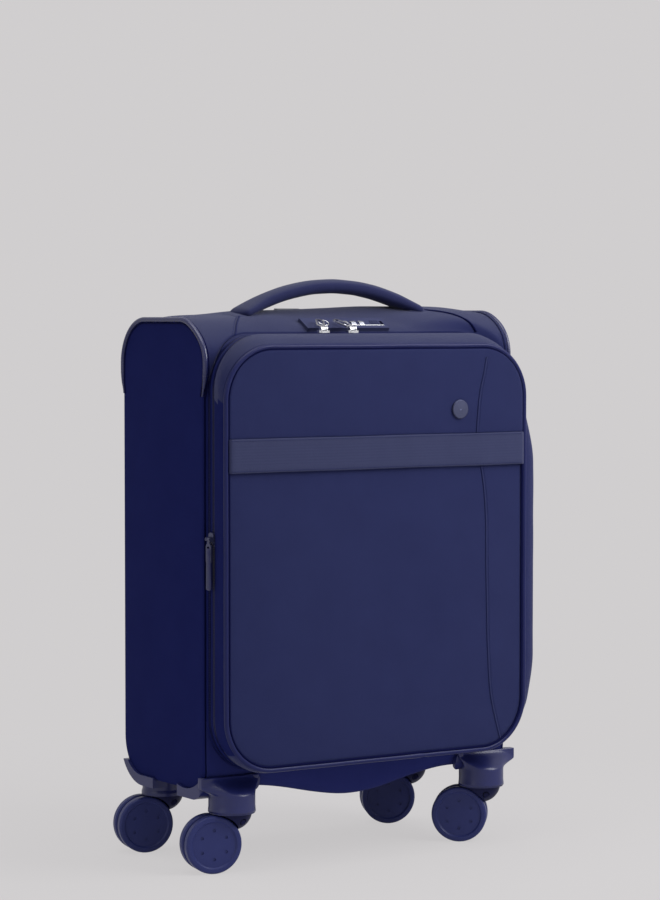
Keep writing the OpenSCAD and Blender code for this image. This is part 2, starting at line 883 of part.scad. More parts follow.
// Bowl and post under the cup, with a rivet through it and a web between the wheels that carries the axle
module fork(sx, sy) {
    color(navy) at_caster(sx, sy) {
        difference() {
            intersection() {
                translate([0, 0, fork_top]) sphere(r = bowl_r, $fn = 64);
                slab(-bowl_r, bowl_r, -bowl_r, bowl_r, 0, fork_top);
            }
            for (s = [-1, 1]) translate([-trail, s * (web_t / 2 + wheel_w), wheel_r])
                rotate([90, 0, 0]) cylinder(r = well_r, h = 2 * wheel_w, center = true);
            for (s = [-1, 1]) translate([rivet_x, s * (spot_y + bowl_r), rivet_z])
                rotate([90, 0, 0]) cylinder(r = spot_r, h = 2 * bowl_r, center = true);
        }
        translate([rivet_x, 0, rivet_z]) rotate([90, 0, 0])
            cylinder(r = rivet_r, h = 2 * rivet_end, center = true);
        translate([0, 0, fork_top - 4]) cylinder(r = post_r, h = post_top - fork_top + 4);
        translate([0, web_t / 2, 0]) rotate([90, 0, 0]) linear_extrude(web_t) {
            translate([-trail, wheel_r]) circle(hub_r);
            polygon([[-trail - web_back, wheel_r + sqrt(hub_r * hub_r - web_back * web_back)],
                [-trail + web_fore, wheel_r - sqrt(hub_r * hub_r - web_fore * web_fore)],
                [2, fork_top - web_drop], [post_r + 2, fork_top - 1], [-post_r - 3, fork_top - 1]]);
        }
        translate([-trail, 0, wheel_r]) rotate([90, 0, 0])
            cylinder(r = axle_r, h = 2 * axle_end, center = true);
    }
}

module fork_front_left() { fork(-1, -1); }
module fork_front_right() { fork(1, -1); }
module fork_rear_left() { fork(-1, 1); }
module fork_rear_right() { fork(1, 1); }

// One wheel of a pair, with its dished face away from the fork: side is -1 towards the front
module wheel(sx, sy, side) {
    edge = 2.5;
    face_r = wheel_r - 5;
    dimple_ring = wheel_r / 2;
    dimple_r = 1.7;
    dimple_d = 0.8;
    color(navy_light) at_caster(sx, sy) translate([-trail, side * wheel_gap / 2, wheel_r])
    rotate([side > 0 ? -90 : 90, 0, 0]) difference() {
        rotate_extrude($fn = 96) difference() {
            square([wheel_r, wheel_w]);
            round_off(wheel_r - edge, edge, edge, 1, -1);
            round_off(wheel_r - edge, wheel_w - edge, edge, 1, 1);
            translate([-1, -1]) square([axle_r + fit + 1, axle_end - wheel_gap / 2 + 1 + clear]);
            polygon([[-1, wheel_w - dish], [face_r - dish, wheel_w - dish], [face_r, wheel_w],
                [face_r, wheel_w + 1], [-1, wheel_w + 1]]);
        }
        for (a = [0:60:300]) rotate([0, 0, a + 30]) translate([dimple_ring, 0, wheel_w - dish - dimple_d])
            cylinder(r = dimple_r, h = wheel_w, $fn = 24);
    }
}

module wheel_front_left_a() { wheel(-1, -1, -1); }
module wheel_front_left_b() { wheel(-1, -1, 1); }
module wheel_front_right_a() { wheel(1, -1, -1); }
module wheel_front_right_b() { wheel(1, -1, 1); }
module wheel_rear_left_a() { wheel(-1, 1, -1); }
module wheel_rear_left_b() { wheel(-1, 1, 1); }
module wheel_rear_right_a() { wheel(1, 1, -1); }
module wheel_rear_right_b() { wheel(1, 1, 1); }

side_panel_left();
side_panel_right();
top_yoke();
back_panel();
bottom_panel();
front_rim();
zip_chain_case();
side_piping();
carry_handle();
handle_anchors();
lock_housing();
trolley_bezel();
trolley_outer_tubes();
trolley_base();
back_lining();
packing_straps();
strap_buckle();
corner_guard_front_left();
corner_guard_front_right();
corner_guard_rear_left();
corner_guard_rear_right();
lid_hinge_strip();
lid_ring();
zip_chains_lid();
expander_gusset();
zip_chain_expander();
lid_gusset();
front_panel();
lid_piping();
upper_pocket();
pocket_band();
badge();
main_slider_left();
main_slider_right();
main_pull_left();
main_pull_right();
expander_slider();
expander_pull();
lock_dial_1();
lock_dial_2();
lock_dial_3();
lock_release();
trolley_stage_1();
trolley_stage_2();
trolley_grip();
trolley_button();
fork_front_left();
fork_front_right();
fork_rear_left();
fork_rear_right();
wheel_front_left_a();
wheel_front_left_b();
wheel_front_right_a();
wheel_front_right_b();
wheel_rear_left_a();
wheel_rear_left_b();
wheel_rear_right_a();
wheel_rear_right_b();
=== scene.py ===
from functools import partial
from math import asin, copysign, cos, exp, hypot, pi, radians, sin, sqrt, tanh

import bmesh
import bpy
from mathutils import Matrix, Vector, noise


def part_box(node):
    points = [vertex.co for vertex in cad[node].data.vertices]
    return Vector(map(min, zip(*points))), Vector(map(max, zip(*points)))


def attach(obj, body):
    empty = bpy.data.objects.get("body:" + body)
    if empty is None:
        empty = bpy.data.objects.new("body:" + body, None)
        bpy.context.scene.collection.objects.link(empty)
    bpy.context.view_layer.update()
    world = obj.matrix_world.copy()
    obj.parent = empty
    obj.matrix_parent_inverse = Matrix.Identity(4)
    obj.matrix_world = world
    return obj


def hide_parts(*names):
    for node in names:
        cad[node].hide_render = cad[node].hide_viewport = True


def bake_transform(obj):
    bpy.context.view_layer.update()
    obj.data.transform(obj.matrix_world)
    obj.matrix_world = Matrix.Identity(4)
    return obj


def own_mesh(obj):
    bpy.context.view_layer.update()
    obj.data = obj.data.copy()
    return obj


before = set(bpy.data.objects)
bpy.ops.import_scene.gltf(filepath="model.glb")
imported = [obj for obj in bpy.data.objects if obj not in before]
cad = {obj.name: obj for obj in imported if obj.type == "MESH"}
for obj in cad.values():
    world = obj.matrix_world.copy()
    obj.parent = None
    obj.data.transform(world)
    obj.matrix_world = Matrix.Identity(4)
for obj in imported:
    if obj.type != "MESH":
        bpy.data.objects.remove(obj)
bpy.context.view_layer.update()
scene = bpy.context.scene
scene.view_settings.view_transform = "Standard"
print("frame loaded:", len(cad), "nodes")


# Helpers. Everything is drawn in millimetres and brought to metres when a piece is made.

def smooth(a, b, x):
    t = min(1, max(0, (x - a) / (b - a)))
    return t * t * (3 - 2 * t)


def mix(a, b, t):
    return a + (b - a) * t


def fromEnds(t, width):  # 0 at both ends of a length, 1 further in
    return smooth(0, width, min(t, 1 - t))


def ripple(x, y, z, size):  # slow unevenness of cloth, about -1 to 1
    return noise.noise(Vector((x, y, z)) / size)


def circle(v):  # cosine and sine of a share of a turn
    return cos(2 * pi * v), sin(2 * pi * v)


def squared(c, power):  # makes a round section boxier where power is below 1
    return copysign(abs(c) ** power, c)


def boxOf(node):  # corners of a CAD node in millimetres
    return (corner * 1000 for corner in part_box(node))


def loft(across, along, place, uvSize, close=False, capped=False):
    # a grid whose points are carried onto a surface; uv keeps the length along it in millimetres
    bm = bmesh.new()
    bmesh.ops.create_grid(bm, x_segments=across, y_segments=along, size=1)
    layer = bm.loops.layers.uv.new("weave")
    for face in bm.faces:
        for corner in face.loops:
            co = corner.vert.co
            corner[layer].uv = ((co.x + 1) / 2 * uvSize[0], (co.y + 1) / 2 * uvSize[1])
    for vert in bm.verts:
        vert.co = place((vert.co.x + 1) / 2, (vert.co.y + 1) / 2)
    if close:
        bmesh.ops.remove_doubles(bm, verts=bm.verts, dist=0.02)
    if capped:
        bmesh.ops.holes_fill(bm, edges=[e for e in bm.edges if e.is_boundary], sides=100)
    return bm


def faceOut(bm, inside=None):
    # turns the faces outwards, or away from a point or a function's point for an open sheet
    bmesh.ops.recalc_face_normals(bm, faces=bm.faces)
    if inside is not None:
        bm.normal_update()
        total = 0
        for face in bm.faces:
            middle = face.calc_center_median()
            origin = inside(middle) if callable(inside) else Vector(inside)
            total += face.normal.dot((middle - origin).normalized()) * face.calc_area()
        if total < 0:
            bmesh.ops.reverse_faces(bm, faces=bm.faces)
    return bm


def addTo(whole, part):
    part.to_mesh(spare := bpy.data.meshes.new("spare"))
    whole.from_mesh(spare)
    bpy.data.meshes.remove(spare)
    part.free()


def joined(parts):
    whole = bmesh.new()
    for part in parts:
        addTo(whole, part)
    return whole


def makePiece(name, bm, material, body="case", stands=(), thick=0, levels=0):
    bmesh.ops.scale(bm, vec=(0.001, 0.001, 0.001), verts=bm.verts)
    mesh = bpy.data.meshes.new(name)
    bm.to_mesh(mesh)
    bm.free()
    mesh.materials.append(material)
    for face in mesh.polygons:
        face.use_smooth = True
    piece = bpy.data.objects.new(name, mesh)
    scene.collection.objects.link(piece)
    if thick:
        wall = piece.modifiers.new("thickness", "SOLIDIFY")
        wall.thickness = thick * 0.001
        wall.offset = -1
    if levels:
        fine = piece.modifiers.new("fine", "SUBSURF")
        fine.levels = fine.render_levels = levels
    if stands:
        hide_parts(*stands)
    if body:
        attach(piece, body)
    return piece


def puff(piece, pinned, push, cap, frames=20):
    # lets air pressure fill a panel that is sewn down along its edge
    mesh = piece.data
    rest = [v.co.copy() for v in mesh.vertices]
    kept = piece.modifiers[:]
    for m in kept:
        m.show_viewport = False
    held = piece.vertex_groups.new(name="sewn")
    for v in mesh.vertices:
        held.add([v.index], pinned(v.co * 1000), "REPLACE")
    cloth = piece.modifiers.new("air", "CLOTH")
    air = cloth.settings
    air.quality = 4
    air.mass = 0.3
    air.tension_stiffness = air.compression_stiffness = 12
    air.shear_stiffness = 6
    air.bending_stiffness = 2
    air.tension_damping = air.compression_damping = 12
    air.vertex_group_mass = "sewn"
    air.use_pressure = True
    air.uniform_pressure_force = push
    air.effector_weights.gravity = 0
    cloth.point_cache.frame_start = 1
    cloth.point_cache.frame_end = frames
    for step in range(1, frames + 1):
        scene.frame_set(step)
    blown = piece.evaluated_get(bpy.context.evaluated_depsgraph_get()).data
    moves = [blown.vertices[i].co - rest[i] for i in range(len(rest))]
    piece.modifiers.remove(cloth)
    piece.vertex_groups.remove(held)
    scene.frame_set(1)
    top = max(d.length for d in moves)
    reach = cap * 0.001
    for v, co, d in zip(mesh.vertices, rest, moves):
        v.co = co + d * (reach * tanh(d.length / reach) / d.length if d.length > 1e-9 else 0)
    for m in kept:
        m.show_viewport = True
    mesh.update()
    print("puffed", piece.name, "by up to", round(top * 1000, 1), "mm before the cap")


def blown(piece, body, pinned, q, fill):  # a panel is blown up before it rides on its body
    puff(piece, pinned, q["push"], q["cap"])
    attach(piece, body)


def rounded(a, b, low, high, radii):
    # carries a point of a rectangle into its rounded corners; radii are kept by (far in a, far in b)
    for (farA, farB), r in radii.items():
        wayA, wayB = 1 if farA else -1, 1 if farB else -1
        midA = high[0] - r if farA else low[0] + r
        midB = high[1] - r if farB else low[1] + r
        p, q = (a - midA) * wayA / r, (b - midB) * wayB / r
        if p > 0 and q > 0:
            return midA + r * p * sqrt(1 - q * q / 2) * wayA, midB + r * q * sqrt(1 - p * p / 2) * wayB
    return a, b


def gapInside(a, b, low, high, radii):  # distance in from a rounded outline
    gap = min(a - low[0], high[0] - a, b - low[1], high[1] - b)
    for (farA, farB), r in radii.items():
        p = r - (high[0] - a if farA else a - low[0])
        q = r - (high[1] - b if farB else b - low[1])
        if p > 0 and q > 0:
            gap = min(gap, r - hypot(p, q))
    return gap


# Finishes. Groups hold what several materials share.

def newGroup(name, numbers):
    # a shader group: numbers of its own and two colours go in; colour, height and roughness come out
    group = bpy.data.node_groups.new(name, "ShaderNodeTree")
    sockets = [(label, "Float", "INPUT", value) for label, value in numbers.items()]
    sockets += [("Dark", "Color", "INPUT", (0.01, 0.01, 0.05, 1)),
                ("Light", "Color", "INPUT", (0.03, 0.03, 0.08, 1)),
                ("Color", "Color", "OUTPUT", None), ("Height", "Float", "OUTPUT", None),
                ("Roughness", "Float", "OUTPUT", None)]
    for label, kind, way, value in sockets:
        made = group.interface.new_socket(name=label, in_out=way, socket_type="NodeSocket" + kind)
        if value is not None:
            made.default_value = value
    return group, group.nodes.new("NodeGroupInput"), group.nodes.new("NodeGroupOutput")


def setInputs(node, values):
    for label, value in values.items():
        node.inputs[label].default_value = value


def addNode(tree, kind, values={}, feed=None):  # a node with values on its inputs, fed through its first one
    node = tree.nodes.new("ShaderNode" + kind)
    setInputs(node, values)
    if feed:
        wire(tree, feed, node.inputs[0])
    return node


def wire(tree, start, end):
    tree.links.new(start, end)


def mathNode(tree, operation, *values):
    node = addNode(tree, "Math")
    node.operation = operation
    for value, place in zip(values, node.inputs):
        if isinstance(value, (int, float)):
            place.default_value = value
        else:
            wire(tree, value, place)
    return node.outputs[0]


def noiseNode(tree, vector, scale, detail, rough=0.5):
    node = addNode(tree, "TexNoise", {"Scale": scale, "Detail": detail, "Roughness": rough}, vector)
    return node.outputs["Fac"]


def stretched(tree, vector, scale):
    return addNode(tree, "Mapping", {"Scale": scale}, vector).outputs["Vector"]


def blendColour(tree, fac, a, b):
    node = addNode(tree, "Mix")
    node.data_type = "RGBA"
    for value, place in ((fac, node.inputs[0]), (a, node.inputs[6]), (b, node.inputs[7])):
        if hasattr(value, "is_linked"):
            wire(tree, value, place)
        else:
            place.default_value = value
    return node.outputs[2]


def makeWeave():
    # plain weave on the piece's own uv: threads pass over and under, with slubs and a slow drift of tone
    group, start, end = newGroup("plainWeave", {"Pitch": 0.8, "Fade": 0.0})

    do = partial(mathNode, group)
    cloth = addNode(group, "UVMap")
    cloth.uv_map = "weave"
    uv = cloth.outputs["UV"]
    parts = addNode(group, "SeparateXYZ", feed=uv)
    u, v = (do("DIVIDE", parts.outputs[i], start.outputs["Pitch"]) for i in (0, 1))
    warp, weft = (do("ABSOLUTE", do("SINE", do("MULTIPLY", way, pi))) for way in (u, v))
    over = do("ABSOLUTE", do("MODULO", do("ADD", do("FLOOR", u), do("FLOOR", v)), 2))
    height = do("MULTIPLY_ADD", warp, over, do("MULTIPLY", weft, do("SUBTRACT", 1, over)))
    slubs, picks = (noiseNode(group, stretched(group, uv, size), 1.0, 3)
                    for size in ((1.3, 0.02, 1), (0.02, 1.3, 1)))
    drift = do("MULTIPLY_ADD", noiseNode(group, uv, 0.022, 4, 0.6), 2.4, -0.7)
    threads = do("MULTIPLY_ADD", slubs, 0.55, do("MULTIPLY", picks, 0.45))
    tone = do("MULTIPLY_ADD", height, 0.35, do("MULTIPLY", threads, 0.5))
    tone = do("MULTIPLY_ADD", drift, 0.3, tone)
    colour = blendColour(group, tone, start.outputs["Dark"], start.outputs["Light"])
    # cloth that faces up is blended toward a pale grey-blue by the given share: a painted sheen of the top
    # light
    facing = addNode(group, "SeparateXYZ", feed=addNode(group, "TexCoord").outputs["Normal"])
    high = addNode(group, "MapRange", {"From Min": 0.2}, facing.outputs[2])
    high.interpolation_type = "SMOOTHSTEP"
    pale = do("MULTIPLY", high.outputs["Result"], start.outputs["Fade"])
    wire(group, blendColour(group, pale, colour, (0.062, 0.066, 0.092, 1)), end.inputs["Color"])
    wire(group, do("MULTIPLY_ADD", threads, 0.25, height), end.inputs["Height"])
    wire(group, do("MULTIPLY_ADD", height, -0.12, 0.82), end.inputs["Roughness"])
    return group


def makeGrain():
    # moulded grain and faint handling marks, on the object's own coordinates
    group, start, end = newGroup("mouldGrain", {"Size": 0.8, "Base": 0.4})

    do = partial(mathNode, group)
    place = addNode(group, "TexCoord").outputs["Object"]
    scaled = addNode(group, "VectorMath", feed=place)
    scaled.operation = "SCALE"
    wire(group, do("DIVIDE", 1000, start.outputs["Size"]), scaled.inputs["Scale"])
    pores = noiseNode(group, scaled.outputs[0], 1.0, 2)
    marks = noiseNode(group, stretched(group, place, (60, 60, 420)), 1.0, 4, 0.6)
    cloud = noiseNode(group, place, 30.0, 3)
    tone = do("MULTIPLY_ADD", cloud, 0.7, do("MULTIPLY", pores, 0.3))
    wire(group, blendColour(group, tone, start.outputs["Dark"], start.outputs["Light"]), end.inputs["Color"])
    wire(group, pores, end.inputs["Height"])
    worn = do("MULTIPLY_ADD", marks, 0.16, do("MULTIPLY", cloud, 0.10))
    wire(group, do("ADD", start.outputs["Base"], do("SUBTRACT", worn, 0.13)), end.inputs["Roughness"])
    return group


weave = makeWeave()
grain = makeGrain()


def finish(name, group, values, shine, bump, depth):
    # one material: its group gives colour, roughness and height, and the rest stands on the shader
    material = bpy.data.materials.new(name)
    material.use_nodes = True
    tree = material.node_tree
    shader = tree.nodes["Principled BSDF"]
    pattern = addNode(tree, "Group")
    pattern.node_tree = group
    setInputs(pattern, values)
    setInputs(shader, shine)
    relief = addNode(tree, "Bump", {"Strength": bump, "Distance": depth * 0.001})
    wire(tree, pattern.outputs["Color"], shader.inputs["Base Color"])
    wire(tree, pattern.outputs["Roughness"], shader.inputs["Roughness"])
    wire(tree, pattern.outputs["Height"], relief.inputs["Height"])
    wire(tree, relief.outputs["Normal"], shader.inputs["Normal"])
    return material


def cloth(name, dark, light, pitch=0.8, sheen=0.0, bump=0.5, specular=0.02, paleShare=0.0):
    values = {"Pitch": pitch, "Dark": (*dark, 1), "Light": (*light, 1), "Fade": paleShare}
    shine = {"Sheen Weight": sheen, "Sheen Roughness": 0.45, "Sheen Tint": (0.8, 0.82, 1, 1),
             "Specular IOR Level": specular}
    return finish(name, weave, values, shine, bump, depth=0.25)


def moulded(name, dark, light, base=0.4, size=0.9, bump=0.15, metal=0.0, specular=0.3):
    values = {"Size": size, "Dark": (*dark, 1), "Light": (*light, 1), "Base": base}
    shine = {"Metallic": metal, "Specular IOR Level": 0.5 if metal else specular}
    return finish(name, grain, values, shine, bump, depth=0.15)


# The last share given to three of the cloths below blends their up-facing parts toward a pale grey-blue: a
# painted sheen of the top light.
shellCloth = cloth("shellCloth", (0.0058, 0.0082, 0.06), (0.0105, 0.0143, 0.084), paleShare=0.35)
# A lighter, greyer copy of the shell cloth with sheen: painted light, used on the parts the top and key lamps
# light (the padded top, the lid's right and upper gusset, the hinge).
litShellCloth = cloth("litShellCloth", (0.0066, 0.0092, 0.056), (0.012, 0.016, 0.074), sheen=0.15, specular=0.08,
                  paleShare=0.3)
# A brighter copy of the shell cloth for the foot and the underside: painted light in the shade under the lid.
litFootCloth = cloth("litFootCloth", (0.0115, 0.0152, 0.086), (0.0195, 0.0245, 0.116))
# Near-black cloth for thin cords laid beside piping and along a seam crease: painted shade of those crevices.
shadeCordCloth = cloth("shadeCordCloth", (0.003, 0.004, 0.03), (0.005, 0.0065, 0.042))
faceCloth = cloth("faceCloth", (0.0074, 0.0106, 0.055), (0.0136, 0.0186, 0.077), sheen=0.13, specular=0.09)
bandCloth = cloth("bandCloth", (0.014, 0.018, 0.062), (0.0225, 0.028, 0.082), pitch=0.55, sheen=0.1,
                  bump=0.3, specular=0.25)
pipeCloth = cloth("pipeCloth", (0.0105, 0.013, 0.056), (0.018, 0.0215, 0.076), pitch=0.5, bump=0.25,
                  sheen=0.1, specular=0.1, paleShare=0.35)
tapeCloth = cloth("tapeCloth", (0.004, 0.0055, 0.036), (0.008, 0.01, 0.05), pitch=1.0)
liningCloth = cloth("liningCloth", (0.03, 0.033, 0.055), (0.05, 0.054, 0.08), pitch=0.45, bump=0.25,
                    sheen=0.1, specular=0.12)
strapCloth = cloth("strapCloth", (0.008, 0.009, 0.016), (0.02, 0.022, 0.034), pitch=1.6, bump=0.8,
                   sheen=0.05, specular=0.12)
threadCloth = cloth("threadCloth", (0.014, 0.018, 0.08), (0.026, 0.032, 0.11), pitch=0.4, sheen=0.05,
                    specular=0.12)
pipePlastic = moulded("pipePlastic", (0.008, 0.0105, 0.062), (0.013, 0.0165, 0.082), base=0.26, size=0.6,
                      specular=0.5)
hemPlastic = moulded("hemPlastic", (0.0075, 0.01, 0.058), (0.012, 0.0155, 0.076), base=0.34, size=0.6,
                     specular=0.14)
tabPlastic = moulded("tabPlastic", (0.009, 0.012, 0.06), (0.014, 0.0175, 0.078), base=0.38, size=0.6)
guardPlastic = moulded("guardPlastic", (0.0088, 0.012, 0.074), (0.014, 0.018, 0.096), base=0.33, specular=0.42)
# The forks' own dark plastic, made darker still: partly painted shade under the cups.
shadedForkPlastic = moulded("shadedForkPlastic", (0.0035, 0.0045, 0.03), (0.0065, 0.008, 0.044), base=0.45, specular=0.1)
wheelPlastic = moulded("wheelPlastic", (0.0165, 0.022, 0.102), (0.025, 0.032, 0.122), base=0.42, specular=0.19)
zipPlastic = moulded("zipPlastic", (0.005, 0.007, 0.04), (0.01, 0.012, 0.056), base=0.32, size=0.5,
                     specular=0.1)
darkPlastic = moulded("darkPlastic", (0.005, 0.0065, 0.034), (0.01, 0.012, 0.05), base=0.42)
gripPlastic = moulded("gripPlastic", (0.018, 0.022, 0.07), (0.027, 0.032, 0.088), base=0.5, specular=0.06)
buttonPlastic = moulded("buttonPlastic", (0.12, 0.125, 0.14), (0.17, 0.175, 0.19), base=0.35)
brightMetal = moulded("brightMetal", (0.62, 0.63, 0.66), (0.78, 0.79, 0.82), base=0.22, metal=1.0, bump=0.05)
duskMetal = moulded("duskMetal", (0.03, 0.034, 0.085), (0.05, 0.055, 0.12), base=0.36, metal=0.5, bump=0.05)
lockPlastic = moulded("lockPlastic", (0.032, 0.036, 0.084), (0.043, 0.048, 0.102), base=0.5, size=0.6,
                      specular=0.05)
dialMetal = moulded("dialMetal", (0.26, 0.27, 0.31), (0.38, 0.39, 0.43), base=0.34, metal=0.8, bump=0.05)
tubeMetal = moulded("tubeMetal", (0.55, 0.56, 0.58), (0.66, 0.67, 0.69), base=0.28, metal=1.0, bump=0.05)
badgeMetal = moulded("badgeMetal", (0.035, 0.04, 0.085), (0.055, 0.061, 0.115), base=0.52, metal=0.7, bump=0.05)

# which finish the CAD nodes keep, by the start of their names
dressed = {guardPlastic: ("corner_guard",), shadedForkPlastic: ("fork_",), wheelPlastic: ("wheel_",),
           brightMetal: ("main_slider", "main_pull"), duskMetal: ("expander_slider", "expander_pull"),
           dialMetal: ("lock_dial",), lockPlastic: ("lock_housing", "lock_release"), badgeMetal: ("badge",),
           tubeMetal: ("trolley_stage", "trolley_outer_tubes"), gripPlastic: ("trolley_grip",),
           darkPlastic: ("trolley_bezel", "trolley_base", "strap_buckle"), buttonPlastic: ("trolley_button",)}
for material, starts in dressed.items():
    for node in (cad[name] for name in cad if name.startswith(starts)):
        node.data.materials.clear()
        node.data.materials.append(material)
print("finishes made:", len(bpy.data.materials))


# Shell: its side view is walked by length from the front foot, over the top and down the back.
low, high = boxOf("side_panel_right")
shell = {"side": high.x, "inner": low.x, "front": low.y, "back": high.y, "bottom": low.z, "top": high.z,
         "topR": 45, "backR": 40, "frontR": 20, "seam": 476, "sag": 18.5, "sagHalf": 124, "wall": 3.6}


def cornersOfShell():
    # corners of the side view: middle, radius, outward way at the start, and the straight run that follows
    q = shell
    r, t, b = q["frontR"], q["topR"], q["backR"]
    tall, deep = q["top"] - q["bottom"], q["back"] - q["front"]
    return [(q["front"] + r, q["bottom"] + r, r, 270, tall - r - t),
            (q["front"] + t, q["top"] - t, t, 180, deep - 2 * t),
            (q["back"] - t, q["top"] - t, t, 90, tall - t - b),
            (q["back"] - b, q["bottom"] + b, b, 0, deep - b - r)]


shellCorners = cornersOfShell()
shellLengths = [length for _, _, r, _, run in shellCorners for length in (r * pi / 2, run)]


def shellPoint(s, x=0, out=0):
    # point on the shell at length s and place x, lifted by out
    for y, z, r, start, run in shellCorners:
        turn = r * pi / 2
        if s <= turn + run:
            break
        s -= turn + run
    a = radians(start - 90 * min(1, s / turn))
    on = max(0, s - turn)
    return Vector((x, y + (r + out) * cos(a) + on * sin(a), z + (r + out) * sin(a) - on * cos(a)))


def frontLength(z):  # length at height z on the front
    base = shellLengths[0] + z - shell["bottom"] - shell["frontR"]
    rise = z - (shell["top"] - shell["topR"])
    return base if rise <= 0 else base - rise + shell["topR"] * asin(min(1, rise / shell["topR"]))


overTop = sum(shellLengths[:5])  # where the back starts to fall straight
backSeam = overTop + shell["top"] - shell["topR"] - shell["seam"]
backFoot = sum(shellLengths[:7])


def sagAt(x):  # how far the soft underside hangs at x
    t = abs(x) / shell["sagHalf"]
    return shell["sag"] * (1 - smooth(0, 1, t)) if t < 1 else 0


def hang(co, reach):  # lets the lower edge of a sheet hang with the underside
    co.z -= sagAt(co.x) * (1 - smooth(shell["bottom"], shell["bottom"] + reach, co.z))
    return co


def middleOfShell(co):
    return Vector((co.x * 0.9, 20, min(max(co.z, 150), 480)))


opening = {"x": 181, "z0": 100, "z1": 536, "r": 55}
ringSteps = 240


def archTop(u):  # the opening's upper edge with its two corners, from left to right
    q, turn = opening, 0.18
    flat = q["x"] - q["r"]
    if turn <= u <= 1 - turn:
        return mix(-flat, flat, (u - turn) / (1 - 2 * turn)), q["z1"]
    way = -1 if u < turn else 1
    a = radians(90 * min(u, 1 - u) / turn)
    return way * (flat + q["r"] * cos(a)), q["z1"] - q["r"] + q["r"] * sin(a)


# Top yoke, from the zip over the top to the seam across the back
yoke = {"cheek": 5.4, "lift": 7, "bezel": (79.6, 66.4, 91.6), "lock": (-50, 42, 8), "slope": 30}


def cheek(x, z):  # the padded corners beside the lid stand forward
    upper = (0.25 + 0.75 * smooth(470, 503, z)) * (1 - smooth(512, 546, z))
    return yoke["cheek"] * smooth(132, 176, abs(x)) * upper


def swell(x, y):
    # how far the padded top stands up, fuller on the right and drawn down at the lock and the trolley
    beside = smooth(50, 95, abs(x))
    rise = smooth(mix(-32, -48, beside), mix(8, 14, beside), y)
    fall = (1 - 0.68 * smooth(44, 66, y)) * (1 - smooth(62, 96, y))
    high = 5 + 4.5 * smooth(-140, -70, x) + 4.5 * smooth(-60, 90, x) - yoke["lift"] * smooth(60, 150, x)
    return high * (1 - (x / opening["x"]) ** 10) * rise * fall


def lift(x, y, z):  # the right top edge stands out a little more than the left one
    return yoke["lift"] * smooth(60, 150, x) * smooth(505, 540, z) * (1 - smooth(52, 96, y))


def topZ(x, y):  # height of the padded top
    y0, r = shell["front"] + shell["topR"], shell["topR"]
    return shell["top"] - r + sqrt(r * r - min(y - y0, 0) ** 2) + swell(x, y) + lift(x, y, shell["top"])


def yokePlace(u, v):
    x, z = archTop(u)
    s = mix(frontLength(z), backSeam, v)
    flat = shellPoint(s, x)
    out = swell(x, flat.y) if flat.z > 500 else 0
    out += 0.5 * ripple(x, flat.y, flat.z, 45) * smooth(0, 0.1, v)
    if flat.y < 0:
        out += cheek(x, flat.z)
    return shellPoint(s, x, out + lift(x, flat.y, flat.z) * smooth(0, 0.08, v))


bm = loft(104, 64, yokePlace, (400, 290))
half, nearY, farY = yoke["bezel"]
slope = radians(yoke["slope"])
up = Vector((0, cos(slope), sin(slope)))
lockMiddle = Vector((0, shell["front"] + shell["topR"] * (1 - up.z), shell["top"] - shell["topR"] * (1 - up.y)))
x0, x1, reach = yoke["lock"]
cuts = [((x, 0, 0), (1, 0, 0)) for x in (-half, half, x0, x1)] + [((0, y, 0), (0, 1, 0)) for y in (nearY, farY)]
cuts += [(lockMiddle + up * d, up) for d in (-reach, reach)]
for point, normal in cuts:
    bmesh.ops.bisect_plane(bm, geom=bm.verts[:] + bm.edges[:] + bm.faces[:], dist=0.01, plane_co=point,
                           plane_no=normal)


def inWell(co):
    if abs(co.x) < half and nearY < co.y < farY and co.z > 480:
        return True
    return x0 < co.x < x1 and co.y < 0 and abs((co - lockMiddle).dot(up)) < reach


bmesh.ops.delete(bm, geom=[f for f in bm.faces if inWell(f.calc_center_median())], context="FACES")
faceOut(bm, middleOfShell)
# The padded top takes the lighter sheened copy of the shell cloth: painted sheen of the top light.
topYoke = makePiece("topYoke", bm, litShellCloth, stands=["top_yoke"], thick=shell["wall"])


# Back, with the soft board behind it showing two shallow channels over the tubes
back = {"channel": 1.2, "tube": 60, "spread": 13}


def backPlace(u, v):
    x = mix(-shell["inner"], shell["inner"], u)
    s = mix(backSeam, backFoot, v)
    flat = shellPoint(s, x)
    edge = fromEnds(u, 0.08) * smooth(0, 0.05, v) * (1 - smooth(0.80, 0.9, v))
    ridge = exp(-((abs(x) - back["tube"]) / back["spread"]) ** 2)
    out = edge * (back["channel"] * ridge + 0.5 * ripple(x, 300, flat.z, 70))
    return hang(shellPoint(s, x, out), shell["backR"])


bm = faceOut(loft(90, 90, backPlace, (362, 420)), middleOfShell)
makePiece("backPanel", bm, shellCloth, stands=["back_panel"], thick=shell["wall"])


def bottomPlace(u, v):
    x = mix(-shell["inner"], shell["inner"], u)
    y = mix(shell["front"] + shell["frontR"], shell["back"] - shell["backR"], v)
    loose = 0.6 * ripple(x, y, 0, 40) * fromEnds(v, 0.1)
    return Vector((x, y, shell["bottom"] - sagAt(x) - loose * (sagAt(x) / shell["sag"])))


bm = faceOut(loft(90, 26, bottomPlace, (362, 102)), (0, 20, 300))
makePiece("bottomPanel", bm, litFootCloth, stands=["bottom_panel"], thick=shell["wall"])


# Front below the lid: from the opening's lower edge out to the shell's edges, rolled under at the foot
rim = {"wall": 3.6, "back": 45.7, "front": 61.8, "fan": 0.29}


